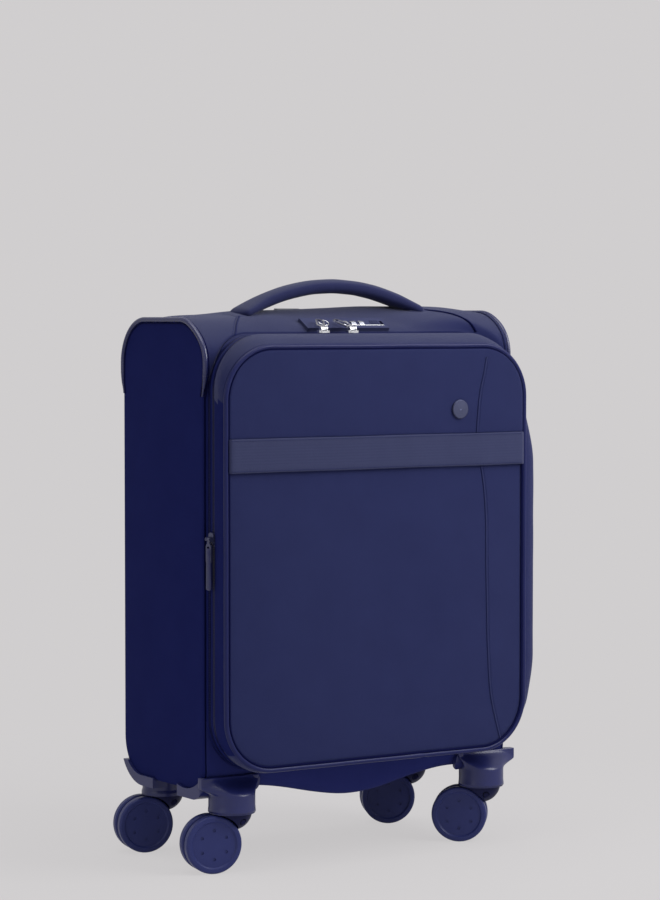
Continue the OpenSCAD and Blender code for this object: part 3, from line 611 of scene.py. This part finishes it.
def frontPlace(u, v):
    x, z = archTop(u)
    z = opening["z0"] + opening["z1"] - z
    s0, s1 = z - shell["bottom"] - shell["frontR"], -shellLengths[0]
    turnX, edgeX = opening["x"] - opening["r"], copysign(opening["x"], x)
    if abs(x) > turnX:  # fan from the rounded corner to the square one
        side = min(1, (z - opening["z0"]) / opening["r"])
        outX = mix(mix(x, edgeX, smooth(turnX, opening["x"], abs(x))), edgeX, smooth(0, rim["fan"], side))
        s = mix(s0, mix(s1, s0, smooth(0, 1, side)), v)
        x = mix(x, outX, v)
    else:
        s = mix(s0, s1, v)
    return hang(shellPoint(shellLengths[0] + s, x, 0.3 * ripple(x, 0, s, 40)), shell["frontR"])


bm = faceOut(loft(110, 14, frontPlace, (520, 50)), (0, 20, 300))
bmesh.ops.remove_doubles(bm, verts=bm.verts, dist=0.05)
bmesh.ops.dissolve_degenerate(bm, edges=bm.edges, dist=0.02)
makePiece("frontFoot", bm, litFootCloth, thick=2.5)


# Outlines of the opening and the lid, walked by the same shares so that cloth can run from one to the other
def outlineAt(t, q):
    # walks a rounded rectangle from the middle of its foot, to the right first; gives point and outward way
    r, flat, low, high = q["r"], q["x"] - q["r"], q["z0"] + q["r"], q["z1"] - q["r"]
    corner, foot, tall = 0.08, 0.12, 0.22  # shares of the walk
    t = (t - foot / 2) % 1
    for x, z, start, share, run in ((flat, low, -90, tall, high - low), (flat, high, 0, foot, 2 * flat),
                                    (-flat, high, 90, tall, high - low), (-flat, low, 180, foot, 2 * flat)):
        if t <= corner + share + 1e-9:
            break
        t -= corner + share
    a = radians(start + 90 * min(1, t / corner))
    on = max(0, t - corner) / share * run
    return (x + r * cos(a) - on * sin(a), z + r * sin(a) + on * cos(a)), (cos(a), sin(a))


def ringLoft(section, wobble=0.0, close=True):
    # a ring round the opening: the section's corners are (inwards, forwards) of the outline
    corners = section + section[:1] if close else section
    count = len(corners) - 1

    def place(u, v):
        i = min(int(v * count), count - 1)
        (d, f), (nextD, nextF) = corners[i], corners[i + 1]
        d, f = mix(d, nextD, v * count - i), mix(f, nextF, v * count - i)
        (x, z), (nx, nz) = outlineAt(u, opening)
        d -= wobble * ripple(x, f, z, 50)
        return Vector((x - nx * d, -f, z - nz * d))

    return loft(ringSteps, count, place, (1600, 20), close=True)


def roundBox(d0, d1, f0, f1, r=0.8):  # section with eased corners
    return [(d0 + r, f0), (d1 - r, f0), (d1, f0 + r), (d1, f1 - r), (d1 - r, f1), (d0 + r, f1), (d0, f1 - r),
            (d0, f0 + r)]


bm = faceOut(ringLoft(roundBox(0, rim["wall"], rim["back"], rim["front"], 1.2), wobble=0.25))
makePiece("frontRim", bm, shellCloth, stands=["front_rim"])


# Side panels, blown up like foam under tight cloth
side = {"push": 3.5, "cap": 5.0, "held": 2, "sew": 7}
sideBox = (shell["front"], shell["bottom"]), (shell["back"], shell["top"])
sideRadii = {(0, 0): shell["frontR"], (1, 0): shell["backR"], (0, 1): shell["topR"], (1, 1): shell["topR"]}


def sidePlace(way, u, v):
    q = shell
    y, z = rounded(mix(q["front"], q["back"], u), mix(q["bottom"], q["top"], v), *sideBox, sideRadii)
    out = lift(way * q["side"], y, z) / q["topR"]
    y0, z0 = q["front"] + q["topR"], q["top"] - q["topR"]
    return Vector((way * q["side"], y + out * min(y - y0, 0), z + out * max(z - z0, 0)))


def sideEdge(co):  # 1 on the sewn edge, 0 inside
    return 1 - smooth(side["held"], side["sew"], gapInside(co.y, co.z, *sideBox, sideRadii))


for word, way in (("left", -1), ("right", 1)):
    bm = faceOut(loft(32, 94, partial(sidePlace, way), (162, 470)), (0, 20, 300))
    stands = ["side_panel_" + word]
    panel = makePiece(word + "Side", bm, shellCloth, None, stands, thick=shell["wall"], levels=1)
    blown(panel, "case", sideEdge, side, 0.5)


# Piping on the two top edges, with tapered ends tucked into the seam
piping = {"r": 2.6, "end": 474, "seam": 1.0, "besideCord": 1.6, "apart": 0.7}


def tube(path, radius, around, steps, ring=False):
    # a round cord along path(t), which gives point, outward way and side way; radius(t) may change
    def place(u, v):
        point, out, beside = path(u)
        c, s = circle(v)
        return point + out * (c * radius(u)) + beside * (s * radius(u))

    uvSize = (1500, 16) if ring else (steps * 4, around * 2)
    return faceOut(loft(steps, around, place, uvSize, close=True, capped=not ring))


pipes, pipeShadeCords, paleSeams = [], [], []
apart = piping["r"] + piping["apart"]
start, stop = frontLength(piping["end"]), overTop + shell["top"] - shell["topR"] - piping["end"]


def pipeLine(way, beside, deep, t):  # along a top edge, moved inwards from the side and outwards from the shell
    s = mix(start, stop, t)
    x = way * (shell["side"] - beside)
    base = shellPoint(s, x)
    ahead = shellPoint(s + 0.5, x) - base
    out = cheek(shell["side"], base.z) if base.y < 0 else 0
    out += deep + lift(x, base.y, base.z) - 2 * (1 - fromEnds(t, 0.05))
    aside = Vector((way, 0, 0))
    return shellPoint(s, x, out), aside, ahead.normalized().cross(aside)


def pipeRadius(t):
    return piping["r"] * (0.4 + 0.6 * fromEnds(t, 0.09))


for way in (-1, 1):
    pipes.append(tube(partial(pipeLine, way, 0, 0), pipeRadius, 14, 120))
    # near-black cords beside the cord: painted shade of its crevices; on the fuller right edge the inner one is
    # of the lighter sheened cloth, where no shade is painted
    for beside, deep in ((-0.1, -apart), (apart, 0.1)):
        pale = way > 0 and beside > 0
        r = piping["besideCord" if pale else "seam"]
        besideCord = tube(partial(pipeLine, way, beside, deep), lambda t: r, 8, 120)
        (paleSeams if pale else pipeShadeCords).append(besideCord)
makePiece("sidePiping", joined(pipes), pipePlastic, stands=["side_piping"])
makePiece("pipeShadeCords", joined(pipeShadeCords), shadeCordCloth)
makePiece("edgeFlange", joined(paleSeams), litShellCloth)
print("shell made")


# Lid: ring between the two zips, gusset, face, pockets and piping
ring = {"wall": 4.8, "back": 66.4, "front": 71, "ease": 1.3}
bm = faceOut(ringLoft(roundBox(0, ring["wall"], ring["back"], ring["front"], ring["ease"]), wobble=0.3))
makePiece("lidRing", bm, shellCloth, "lid_frame", ["lid_ring"])

# Gusset that lets the lid grow: folded flat at rest, pulled out by the front half
gusset = {"in": 5.4, "thick": 1.2, "back": 67.6, "front": 77.4}
bm = ringLoft([(gusset["in"] + (0.5 if i % 2 else 0), mix(gusset["back"], gusset["front"], i / 12))
               for i in range(13)], close=False)
bmesh.ops.recalc_face_normals(bm, faces=bm.faces)
expanderCloth = makePiece("expanderCloth", bm, shellCloth, None, ["expander_gusset"], thick=gusset["thick"])
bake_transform(expanderCloth)

lip = {"x": 183, "z0": 102, "z1": 525, "r": 55}  # outline of the lid at its front edge
tray = {"back": 75.6, "front": 97, "bulge": 1.6, "wall": 3.6, "loose": 16.5, "right": 165, "sunk": 0.9}


def trayPoint(u, t, loose, sunk):
    # a point of the gusset's outside, t from the zip to the lip
    (ax, az), (nx, nz) = outlineAt(u, opening)
    (bx, bz), _ = outlineAt(u, lip)
    x, z = mix(ax, bx, t), mix(az, bz, t)
    out = (tray["bulge"] + 0.5 * ripple(x, 90 * t, z, 38)) * sin(pi * t)
    slack = smooth(95, 200, z) * (1 - smooth(400, 485, z)) if x > 120 else 0
    out += loose * slack * sin(pi * t ** 1.5) ** 0.8 * smooth(0.6, 1, nx) - sunk
    return Vector((x + nx * out, -mix(tray["back"], tray["front"], t), z + nz * out))


def trayPlace(u, v):
    # out along the outside, round the lip and back along the inside
    return trayPoint(u, 2 * v, 0, 0) if v <= 0.5 else trayPoint(u, 2 - 2 * v, 0, tray["wall"])


bm = faceOut(loft(240, 20, trayPlace, (1500, 46), close=True))
lidGusset = makePiece("lidGusset", bm, shellCloth, "lid_front", ["lid_gusset"])
lidGusset.data.materials.append(litShellCloth)
# Faces on the right and on top take the lighter sheened copy of the cloth, painted light where the key and top
# lamps fall.
for bit in lidGusset.data.polygons:  # the deep shade of the left side keeps the plainer cloth
    bit.material_index = 1 if bit.center.x > -0.17 or bit.center.z > 0.47 else 0

# Loose cloth on the gusset's right: a piece of its own on the lid's front; the real cloth folds flat when the
# lid swings open
rights = [i / 2000 for i in range(2000) if outlineAt(i / 2000, opening)[0][0] > tray["right"]]


def slackPlace(u, v):
    return trayPoint(mix(min(rights), max(rights), u), v, tray["loose"] + tray["sunk"], tray["sunk"])


bm = faceOut(loft(96, 16, slackPlace, (400, 46)), lambda co: Vector((100, co.y, co.z)))
# It takes the lighter sheened copy of the cloth: painted light on the lit right side.
lidSlack = makePiece("lidSlack", bm, litShellCloth, "lid_front")
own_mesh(lidSlack)

# Face of the lid, sewn down along its edge and under the cross band, blown up between
face = {"x": 180, "z0": 105, "z1": 522, "r": 52, "f": 98.2, "push": 3.0, "cap": 9.0, "band": 399.5}


def panelPlace(q, radii, u, v):
    low, high = (-q["x"], q["z0"]), (q["x"], q["z1"])
    x, z = rounded(mix(-q["x"], q["x"], u), mix(q["z0"], q["z1"], v), low, high, radii)
    return Vector((x, -q["f"], z))


faceRadii = {(i, j): face["r"] for i in (0, 1) for j in (0, 1)}


def faceSewn(co):
    q = face
    gap = gapInside(co.x, co.z, (-q["x"], q["z0"]), (q["x"], q["z1"]), faceRadii)
    below = q["band"] - 1 - co.z
    return 1 if below < 0 else max(1 - smooth(1, 5, gap), 1 - smooth(0, 4, below))


bm = faceOut(loft(76, 88, partial(panelPlace, face, faceRadii), (360, 417)), (0, 0, 300))
lidFace = makePiece("lidFace", bm, faceCloth, None, ["front_panel"], thick=2.4, levels=1)
blown(lidFace, "lid_front", faceSewn, face, 0.5)

# Upper pocket: sewn along its outline, loose and drawn in along the band
pocket = {"x": 178.6, "z0": 432, "z1": 520.4, "r": 50.4, "f": 100.6, "push": 3.0, "cap": 4.5}
pocketRadii = {(0, 1): pocket["r"], (1, 1): pocket["r"]}


def pocketSewn(co):
    q = pocket
    gap = gapInside(co.x, co.z, (-q["x"], 0), (q["x"], q["z1"]), pocketRadii)
    return max(1 - smooth(1, 6, gap), 1 - smooth(0, 5, co.z - q["z0"]))


bm = faceOut(loft(76, 20, partial(panelPlace, pocket, pocketRadii), (358, 88)), (0, 0, 480))
upperPocket = makePiece("upperPocket", bm, faceCloth, None, ["upper_pocket"], thick=1.4,
                        levels=1)
blown(upperPocket, "lid_front", pocketSewn, pocket, 0.45)

# Cross band: a flat doubled strip with rolled edges
band = {"x": 178.8, "z": 416.25, "f": 100.5, "tall": 16.75, "deep": 2.1, "power": 0.28}


def bandPlace(u, v):
    q = band
    x = mix(-q["x"], q["x"], u)
    c, s = circle(v)
    z = squared(c, q["power"]) * q["tall"]
    deep = squared(s, q["power"]) * q["deep"] * mix(0.5, 1, fromEnds(u, 0.012))
    wave = 0.45 * ripple(x, 0, 7, 60) + 0.25 * ripple(x, 9, z, 18) if deep > 0 else 0
    return Vector((x, -(q["f"] + deep + wave), q["z"] + z + 0.3 * ripple(x, 4, 0, 80)))


bm = faceOut(loft(120, 40, bandPlace, (358, 75), close=True, capped=True))
crossBand = makePiece("crossBand", bm, bandCloth, "lid_front", ["pocket_band"])

# Piping round the face: a cord with a lapped joint low on the right
lidPipe = {"r": 2.5, "f": 98.2, "joint": 0.022, "seam": 1.1, "apart": 0.8, "proud": 0.9}


def lidPipePath(t):
    (x, z), (nx, nz) = outlineAt(t, lip)
    d = 1.6 + 0.25 * ripple(x, 2, z, 60)
    return Vector((x - nx * d, -lidPipe["f"], z - nz * d)), Vector((nx, 0, nz)), Vector((0, -1, 0))


def lidPipeRadius(t):
    lap = abs((t - lidPipe["joint"]) * 1500)
    return lidPipe["r"] * (1 + 0.10 * smooth(7, 5, lap) - 0.22 * exp(-(lap - 6.5) ** 2 / 0.5))


bm = tube(lidPipePath, lidPipeRadius, 12, 420, ring=True)
makePiece("lidPiping", bm, hemPlastic, "lid_front", ["lid_piping"])


# Near-black cord just inside the lid's piping: painted shade of the groove there.
def lidShadePath(t):  # the deep seam just inside the cord
    point, out, beside = lidPipePath(t)
    return point - out * (lidPipe["r"] + lidPipe["apart"]) + beside * lidPipe["proud"], out, beside


bm = tube(lidShadePath, lambda t: lidPipe["seam"], 8, 420, ring=True)
makePiece("lidShadeCord", bm, shadeCordCloth, "lid_front")

# Fabric hinge on the right: it bulges from the shell to the lid, in two halves, one riding on the shell and one
# on the lid frame; the real cloth folds flat as the lid opens
hinge = {"x": 185.4, "y": -64.1, "z0": 128, "z1": 446, "bulge": 18.5, "half": 13.4, "thick": 1.3, "tuck": 1.8,
         "keep": 0.1}


def hingePlace(first, last, tuck, u, v):
    q = hinge
    s, z = mix(first, last, u), mix(q["z0"], q["z1"], v)
    out = q["bulge"] * sin(pi * min(1, max(0, v))) ** 0.4 + 0.8 * ripple(3, 4, z, 30) * v * (1 - v)
    out -= tuck * (1 - smooth(0.5, 0.64, s)) * fromEnds(v, 0.1)
    a = pi * min(1, max(0, s))
    return Vector((q["x"] + out * sin(a) ** 0.9 - 0.6 * (1 - sin(a)), q["y"] + q["half"] * cos(a), z))


for name, first, last, tuck, body, stands, beside in (
        ("lidHinge", 0, 0.5, 0, "case", ["lid_hinge_strip"], "side_panel_right"),
        ("lidHingeFold", 0.46, 1, hinge["tuck"], "lid_frame", (), "lid_ring")):
    bm = loft(14, 80, partial(hingePlace, first, last, tuck), (23, 318))
    faceOut(bm, lambda co: Vector((hinge["x"] - 10, hinge["y"], co.z)))
    # Both halves take the lighter sheened copy of the cloth: painted light on the lit right side.
    fold = makePiece(name, bm, litShellCloth, body, stands, thick=hinge["thick"])
    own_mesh(fold)
print("lid made")


# Zips: woven tape with a row of teeth, one piece for each body
zipper = {"pitch": 2.6, "around": 1490, "inset": 0.5, "width": 4.0, "tooth": (1.5, 2.2, 1.5), "seat": 0.6,
          "facet": 4.2e-6}


def zipRow(bm, f0, f1, towards):
    # tape from f0 to f1 with teeth along the edge that meets the other row
    q = zipper
    addTo(bm, ringLoft(roundBox(q["inset"] + 0.8, q["inset"] + q["width"], f0 + 0.15, f1 - 0.15, 0.3)))
    count, deep = int(q["around"] / q["pitch"]), q["inset"] + q["seat"]
    for i in range(count):
        (x, z), (nx, nz) = outlineAt((i + 0.5) / count, opening)
        middle = Vector((x - nx * deep, -(f0 + f1) / 2 - towards * 0.1, z - nz * deep))
        turn = Vector((nx, 0, nz)).to_track_quat("Z", "Y")
        bmesh.ops.create_cube(bm, size=1, matrix=Matrix.LocRotScale(middle, turn, Vector(q["tooth"])))


def zipPiece(name, rows, body, node):
    bm = bmesh.new()
    for row in rows:
        zipRow(bm, *row)
    piece = makePiece(name, faceOut(bm), tapeCloth, body, [node])
    piece.data.materials.append(zipPlastic)
    for bit in piece.data.polygons:  # the teeth are the small faces after the first tape's own
        if bit.area < zipper["facet"] and len(bit.vertices) == 4 and bit.index >= ringSteps * 8:
            bit.material_index = 1
            bit.use_smooth = False


zipPiece("caseZip", [(61.8, 63.9, 1)], "case", "zip_chain_case")
zipPiece("lidZips", [(64.3, 66.4, -1), (71, 73.1, 1)], "lid_frame", "zip_chains_lid")
zipPiece("expanderZip", [(73.5, 75.6, -1)], "lid_front", "zip_chain_expander")

# Carry handle: a padded arch, thin and broad at its sewn ends, one end higher on the fuller side of the top
handle = {"y": -2, "half": 112, "top": 584.3, "rise": 29, "tilt": 1.8, "thick": 6.6, "wide": 12.5,
          "endThick": 5.6, "endWide": 17.5, "power": 0.7}


def handleLine(t):
    q, way = handle, 2 * t - 1
    return Vector((q["half"] * way, q["y"], q["top"] - q["rise"] * way * way + q["tilt"] * way))


def handlePlace(u, v):
    q = handle
    point, ahead = handleLine(u), (handleLine(u + 0.001) - handleLine(u - 0.001)).normalized()
    far = abs(2 * u - 1)
    spread, tip = smooth(0.66, 0.96, far), max(0, (far - 0.94) / 0.06)
    thick = mix(q["thick"], q["endThick"], spread) * (1 - 0.5 * tip * tip)
    wide = mix(q["wide"], q["endWide"], spread) * sqrt(1 - 0.7 * tip * tip)
    c, s = circle(v)
    across = squared(c, q["power"]) * wide
    rise = squared(s, q["power"]) * thick * (1 + 0.12 * (1 - abs(c))) + 0.25 * ripple(point.x, across, 5, 16)
    return point + Vector((-ahead.z, 0, ahead.x)) * rise + Vector((0, across, 0))


bm = loft(96, 28, handlePlace, (256, 72), close=True, capped=True)
makePiece("carryHandle", faceOut(bm), pipeCloth, stands=["carry_handle"])

# Patches under the handle's ends, lying on the padded top
anchor = {"half": 107, "long": 17, "wide": 18.5, "high": 2.4}


def anchorPlace(way, u, v):
    a, b = 2 * u - 1, 2 * v - 1
    x = way * anchor["half"] + anchor["long"] * a * sqrt(1 - b * b / 4)
    y = handle["y"] + anchor["wide"] * b * sqrt(1 - a * a / 4)
    return Vector((x, y, topZ(x, y) + anchor["high"] * (1 - max(abs(a), abs(b)) ** 4) - 0.7))


bm = joined([loft(20, 20, partial(anchorPlace, way), (34, 37)) for way in (-1, 1)])
makePiece("handleAnchors", faceOut(bm, (0, 0, 300)), litShellCloth, stands=["handle_anchors"], thick=1.2)

# Bright trim of the lock: a thin bar before the dials and a ring round the key
trim = {"bar": (41, 1.0, 0.9), "middle": 21.5, "low": -5, "proud": 3.2, "key": -29.5, "ring": 5.3, "wire": 0.6}
normal = Vector((0, -up.z, up.y))
bm = bmesh.new()
middle = lockMiddle + Vector((trim["middle"], 0, 0)) + up * trim["low"] + normal * trim["proud"]
turn = Matrix((Vector((1, 0, 0)), up, normal)).transposed().to_quaternion()
bmesh.ops.create_cube(bm, size=1, matrix=Matrix.LocRotScale(middle, turn, Vector(trim["bar"])))
bmesh.ops.bevel(bm, geom=bm.edges[:], offset=0.25, segments=3, profile=0.5, affect="EDGES", material=-1)
eye = lockMiddle + Vector((trim["key"], 0, 0)) + normal * trim["proud"]


def keyRing(t):
    c, s = circle(t)
    out = Vector((c, 0, 0)) + up * s
    return eye + out * trim["ring"], out, normal


bm = joined([bm, tube(keyRing, lambda t: trim["wire"], 8, 40, ring=True)])
makePiece("lockTrim", faceOut(bm), brightMetal)


# Smooth necks that lead from the front guards into their cups
neck = {"x": 153.5, "y": -62, "top": 95, "bend": 77, "foot": 60.2, "r": 23.5, "flare": 0.5, "in": 31, "out": 42,
        "leftOut": 35.5, "face": -63.4, "low": 85}


def neckPlace(way, u, v):
    q = neck
    c, s = circle(u)
    ahead = min(1, 0.5 - c) if s > 0 else -c  # 1 straight ahead, below 0 behind
    z = mix(q["bend"], q["foot"], (v - 0.7) / 0.3)
    if v < 0.7:
        z = mix(q["top"], q["bend"], max(0, v - 0.1) / 0.6)
    r = q["r"] + q["flare"] * smooth(67, q["foot"], z)
    near = Vector((q["x"] + r * s, q["y"] + r * c, z))
    reach = q["in"] if s <= 0 else q["out"] if way > 0 else q["leftOut"]
    far = Vector((q["x"] + copysign(min(1, abs(s) * 1.15), s) * reach, max(q["face"], near.y), z))
    t = smooth(mix(q["top"], q["low"], smooth(0.5, 1, s)), q["bend"], z) if ahead > 0 else 1
    point = far.lerp(near, mix(1, t, smooth(0, 0.25, ahead)))
    if v < 0.1:  # flat top
        point = Vector((q["x"] + 12 * s, q["y"] + 4 + 3 * c, z + 0.3)).lerp(point, v / 0.1)
    return Vector((way * point.x, point.y, point.z))


necks = []
for way in (-1, 1):
    bm = loft(72, 30, partial(neckPlace, way), (148, 40), close=True)
    necks.append(faceOut(bm, (way * neck["x"], neck["y"], 70)))
makePiece("guardNecks", joined(necks), guardPlastic, thick=0.8)


# Moulded tab over the loop of the expander's pull
tab = {"top": 325, "foot": 283, "wide": 4.3, "thick": 1.7, "power": 0.6}
low, high = boxOf("expander_pull")
pull = (low + high) / 2


def tabPlace(u, v):
    c, s = circle(v)
    end = max(0.3, sqrt(max(0, 1 - max(0, (u - 0.94) / 0.06) ** 2)) * smooth(-0.06, 0.03, u))
    wide = tab["wide"] * mix(0.8, 1.1, u) * end
    thick = tab["thick"] * mix(1.0, 0.8, u) * end * (1 + 0.25 * exp(-((u - 0.12) / 0.06) ** 2))
    x, y = pull.x + squared(s, tab["power"]) * thick, pull.y + squared(c, tab["power"]) * wide
    return Vector((x, y, mix(tab["top"], tab["foot"], u)))


bm = loft(40, 24, tabPlace, (42, 24), close=True, capped=True)
makePiece("pullTab", faceOut(bm), tabPlastic, "expander_pull")


# Seams and stitches
welt = {"dark": 1.3, "pale": 0.8, "face": 0.9, "back": 1.3, "backProud": 0.2}
stitch = {"pitch": 3.4, "long": 2.3, "thick": 0.36, "beside": 3.2, "yokeBeside": 3,
          "bandRows": (401.4, 431.2), "backRows": (472.5, 479.5)}


def sewn(bm, line):
    # short raised stitches along a line of (point, out)
    size = Vector((stitch["long"], stitch["thick"] * 1.6, stitch["thick"]))
    at = 0
    for (a, out), (b, _) in zip(line, line[1:]):
        way = b - a
        while at < way.length:
            middle = a + way * (at / way.length) + out * (stitch["thick"] * 0.2)
            place = Matrix.LocRotScale(middle, way.to_track_quat("X", "Z"), size)
            bmesh.ops.create_cube(bm, size=1, matrix=place)
            at += stitch["pitch"]
        at -= way.length


def drape(line, r, proud=0.1):
    # a thin raised seam along a line of (point, out)
    count = len(line) - 1

    def path(t):
        i = min(int(t * count), count - 1)
        k = t * count - i
        (a, outA), (b, outB) = line[i], line[i + 1]
        out = outA.lerp(outB, k).normalized()
        return a.lerp(b, k) + out * proud, out, (b - a).normalized().cross(out)

    return tube(path, lambda t: r, 6, count * 2)


def rayHit(piece, start, way):
    ok, where, normal, _ = piece.ray_cast(start * 0.001, way)
    return (where * 1000, normal) if ok else None


def through(points, steps):  # smooth line through a few points
    out = []
    for i in range(steps + 1):
        t = i / steps * (len(points) - 1)
        k = min(int(t), len(points) - 2)
        p = [Vector(points[min(max(k + j, 0), len(points) - 1)]) for j in (-1, 0, 1, 2)]
        f = t - k
        out.append(0.5 * (2 * p[1] + (p[2] - p[0]) * f + (2 * p[0] - 5 * p[1] + 4 * p[2] - p[3]) * f ** 2
                          + (3 * p[1] - p[0] - 3 * p[2] + p[3]) * f ** 3))
    return out


def onFace(points, steps):  # a line on the front of the lid, met by rays from before it
    found = []
    for x, z in through(points, steps):
        start = Vector((x, -200, z))
        hits = [rayHit(piece, start, Vector((0, 1, 0))) for piece in (upperPocket, crossBand, lidFace)]
        found += [hit for hit in hits if hit][:1]
    return found


seams = {"upper": [(131, 511), (128, 498), (122, 474), (119.5, 450), (119, 434)],
         "lower": [(126, 398.5), (129, 375), (131, 340), (131, 301), (132, 255), (133, 217), (137, 165),
                   (144, 136), (152, 112)]}
bpy.context.view_layer.update()
welts, stitches = [], bmesh.new()
for key, steps in (("upper", 40), ("lower", 110)):
    welts.append(drape(onFace(seams[key], steps), welt["face"]))
    sewn(stitches, onFace([(x + stitch["beside"], z) for x, z in seams[key]], steps))
for z in stitch["bandRows"]:  # rows along both edges of the band
    sewn(stitches, onFace([(x, z) for x in range(-176, 177, 8)], 180))
makePiece("faceSeams", faceOut(joined(welts)), faceCloth, "lid_front")
makePiece("faceStitches", faceOut(stitches), threadCloth, "lid_front")

# Seams on the yoke that run from the handle's ends to the zip; the right one is a near-black cord, painted
# shade of its crease
yokeSeams = {1: [(112, -15, 560), (124, -22, 556), (138.5, -32, 550), (148.5, -42, 543), (153.5, -49, 535)],
             -1: [(-108, -4, 556), (-119, -20, 552), (-130, -34, 546), (-139, -46, 537), (-143, -51, 532)]}
welts, shadeWelts, stitches = [], [], bmesh.new()
for way, points in yokeSeams.items():
    line = []
    for p in through(points, 30):
        inner = Vector((p.x, shell["front"] + shell["topR"], shell["top"] - shell["topR"]))
        toward = (inner - p).normalized()
        line.append(rayHit(topYoke, p - toward * 40, toward))
    line = [hit for hit in line if hit]
    (shadeWelts if way > 0 else welts).append(drape(line, welt["dark" if way > 0 else "pale"]))
    sewn(stitches, [(p + Vector((way * stitch["yokeBeside"], 0, 0)), out) for p, out in line])
# rows beside the seam across the back, and the seam itself
rear = Vector((0, 1, 0))
for z in stitch["backRows"]:
    sewn(stitches, [(shellPoint(backSeam + shell["seam"] - z, x), rear) for x in range(-178, 179, 6)])
welts.append(drape([(shellPoint(backSeam, x), rear) for x in range(-180, 181, 12)],
                   welt["back"], welt["backProud"]))
makePiece("shellSeams", faceOut(joined(welts)), shellCloth)
makePiece("yokeShadeWelt", faceOut(joined(shadeWelts)), shadeCordCloth)
makePiece("shellStitches", faceOut(stitches), threadCloth)
print("seams sewn")

# Inside: lining over the trolley, with two straps of webbing
lining = {"y": 67.2, "z0": 86, "z1": 505, "x": 180.4}


def liningPlace(u, v):
    x, z = mix(-lining["x"], lining["x"], u), mix(lining["z0"], lining["z1"], v)
    edge = fromEnds(u, 0.06) * fromEnds(v, 0.05)
    slack = edge * (0.9 * ripple(x, 3, z * 0.6, 34) - 0.9)
    return Vector((x, lining["y"] + slack, z))


bm = faceOut(loft(80, 80, liningPlace, (361, 419)), (0, 90, 300))
backLining = makePiece("backLining", bm, liningCloth, stands=["back_lining"], thick=1.4)
strap = {"y": 64.8, "z": 315, "wide": 12.5, "thick": 0.75, "inner": 24, "outer": 180, "sag": 1.2, "power": 0.3}


def strapPlace(way, u, v):
    q = strap
    c, s = circle(v)
    y = q["y"] - squared(s, q["power"]) * q["thick"] - 0.5 * (1 - circle(u)[0])
    z = q["z"] - q["sag"] * sin(pi * u) + squared(c, q["power"]) * q["wide"]
    return Vector((way * mix(q["inner"], q["outer"], u), y, z))


bm = joined([loft(40, 20, partial(strapPlace, way), (156, 54), close=True, capped=True) for way in (-1, 1)])
makePiece("packingStraps", faceOut(bm), strapCloth, stands=["packing_straps"])
print("inside made")


# Floor, light and camera
stageLook = {"shade": (0.632, 0.617, 0.623, 1), "bounce": (0.86, 0.84, 0.85, 1), "seen": (0.60, 0.585, 0.59, 1),
             "sky": (0.34, 0.34, 0.35, 1),
             "paleShare": {"From Min": 0.3, "From Max": 0.9, "To Min": 0.86, "To Max": 1.0}}


def emptyTree(holder):
    holder.use_nodes = True
    holder.node_tree.nodes.clear()
    return holder.node_tree


def shownMask(tree):  # 1 for rays that show the stage, in view, in metal or through glass
    path = addNode(tree, "LightPath").outputs
    seen = mathNode(tree, "MAXIMUM", path["Is Glossy Ray"], path["Is Transmission Ray"])
    return mathNode(tree, "MAXIMUM", path["Is Camera Ray"], seen)


def makeFloor():
    bm = bmesh.new()
    bmesh.ops.create_grid(bm, x_segments=2, y_segments=2, size=40)
    mesh = bpy.data.meshes.new("floor")
    bm.to_mesh(mesh)
    bm.free()
    floor = bpy.data.objects.new("floor", mesh)
    scene.collection.objects.link(floor)
    material = bpy.data.materials.new("paperFloor")
    mesh.materials.append(material)
    tree = emptyTree(material)
    lit = addNode(tree, "BsdfDiffuse")
    plain = addNode(tree, "Emission", {"Color": stageLook["shade"]})
    far = addNode(tree, "VectorMath", feed=addNode(tree, "TexCoord").outputs["Object"])
    far.operation = "LENGTH"
    paleShare = addNode(tree, "MapRange", stageLook["paleShare"], far.outputs["Value"])
    shown = shownMask(tree)
    wire(tree, blendColour(tree, shown, stageLook["bounce"], stageLook["seen"]), lit.inputs["Color"])
    both = addNode(tree, "MixShader", feed=mathNode(tree, "MULTIPLY", shown, paleShare.outputs["Result"]))
    wire(tree, lit.outputs[0], both.inputs[1])
    wire(tree, plain.outputs[0], both.inputs[2])
    addNode(tree, "OutputMaterial", feed=both.outputs[0])


def makeWorld():
    scene.world = scene.world or bpy.data.worlds.new("studio")
    tree = emptyTree(scene.world)
    colour = blendColour(tree, shownMask(tree), stageLook["sky"], stageLook["shade"])
    sky = addNode(tree, "Background", feed=colour)
    addNode(tree, "OutputWorld", feed=sky.outputs[0])


def stand(name, data, place, ahead):  # puts a lamp or the camera at place, looking ahead
    made = bpy.data.objects.new(name, data)
    made.location = place
    made.rotation_mode = "QUATERNION"
    made.rotation_quaternion = ahead.to_track_quat("-Z", "Y")
    scene.collection.objects.link(made)
    return made


makeFloor()
makeWorld()
lamps = {"key": ((0.82, -1.0, 1.2), (0, 0, 0.35), (0.9, 0.9), 21),
         "top": ((-0.2, -0.2, 2.9), (0, 0, 0.4), (2.4, 2.0), 46),
         "left": ((-3.0, -0.6, 1.2), (0, 0, 0.3), (1.6, 2.4), 11)}
for name, (place, aim, size, watts) in lamps.items():
    data = bpy.data.lights.new(name, "AREA")
    data.shape = "RECTANGLE"
    data.size, data.size_y = size
    data.energy = watts
    stand(name, data, place, Vector(aim) - Vector(place))

shot = {"place": (-1.6292, -2.5143, 0.5552), "turn": radians(33.0), "dip": radians(2.69), "lens": 115.4}
view = bpy.data.cameras.new("shot")
view.lens = shot["lens"]
view.sensor_width = 36
flat = cos(shot["dip"])
ahead = Vector((sin(shot["turn"]) * flat, cos(shot["turn"]) * flat, -sin(shot["dip"])))
scene.camera = stand("shot", view, shot["place"], ahead)

print("stage set")
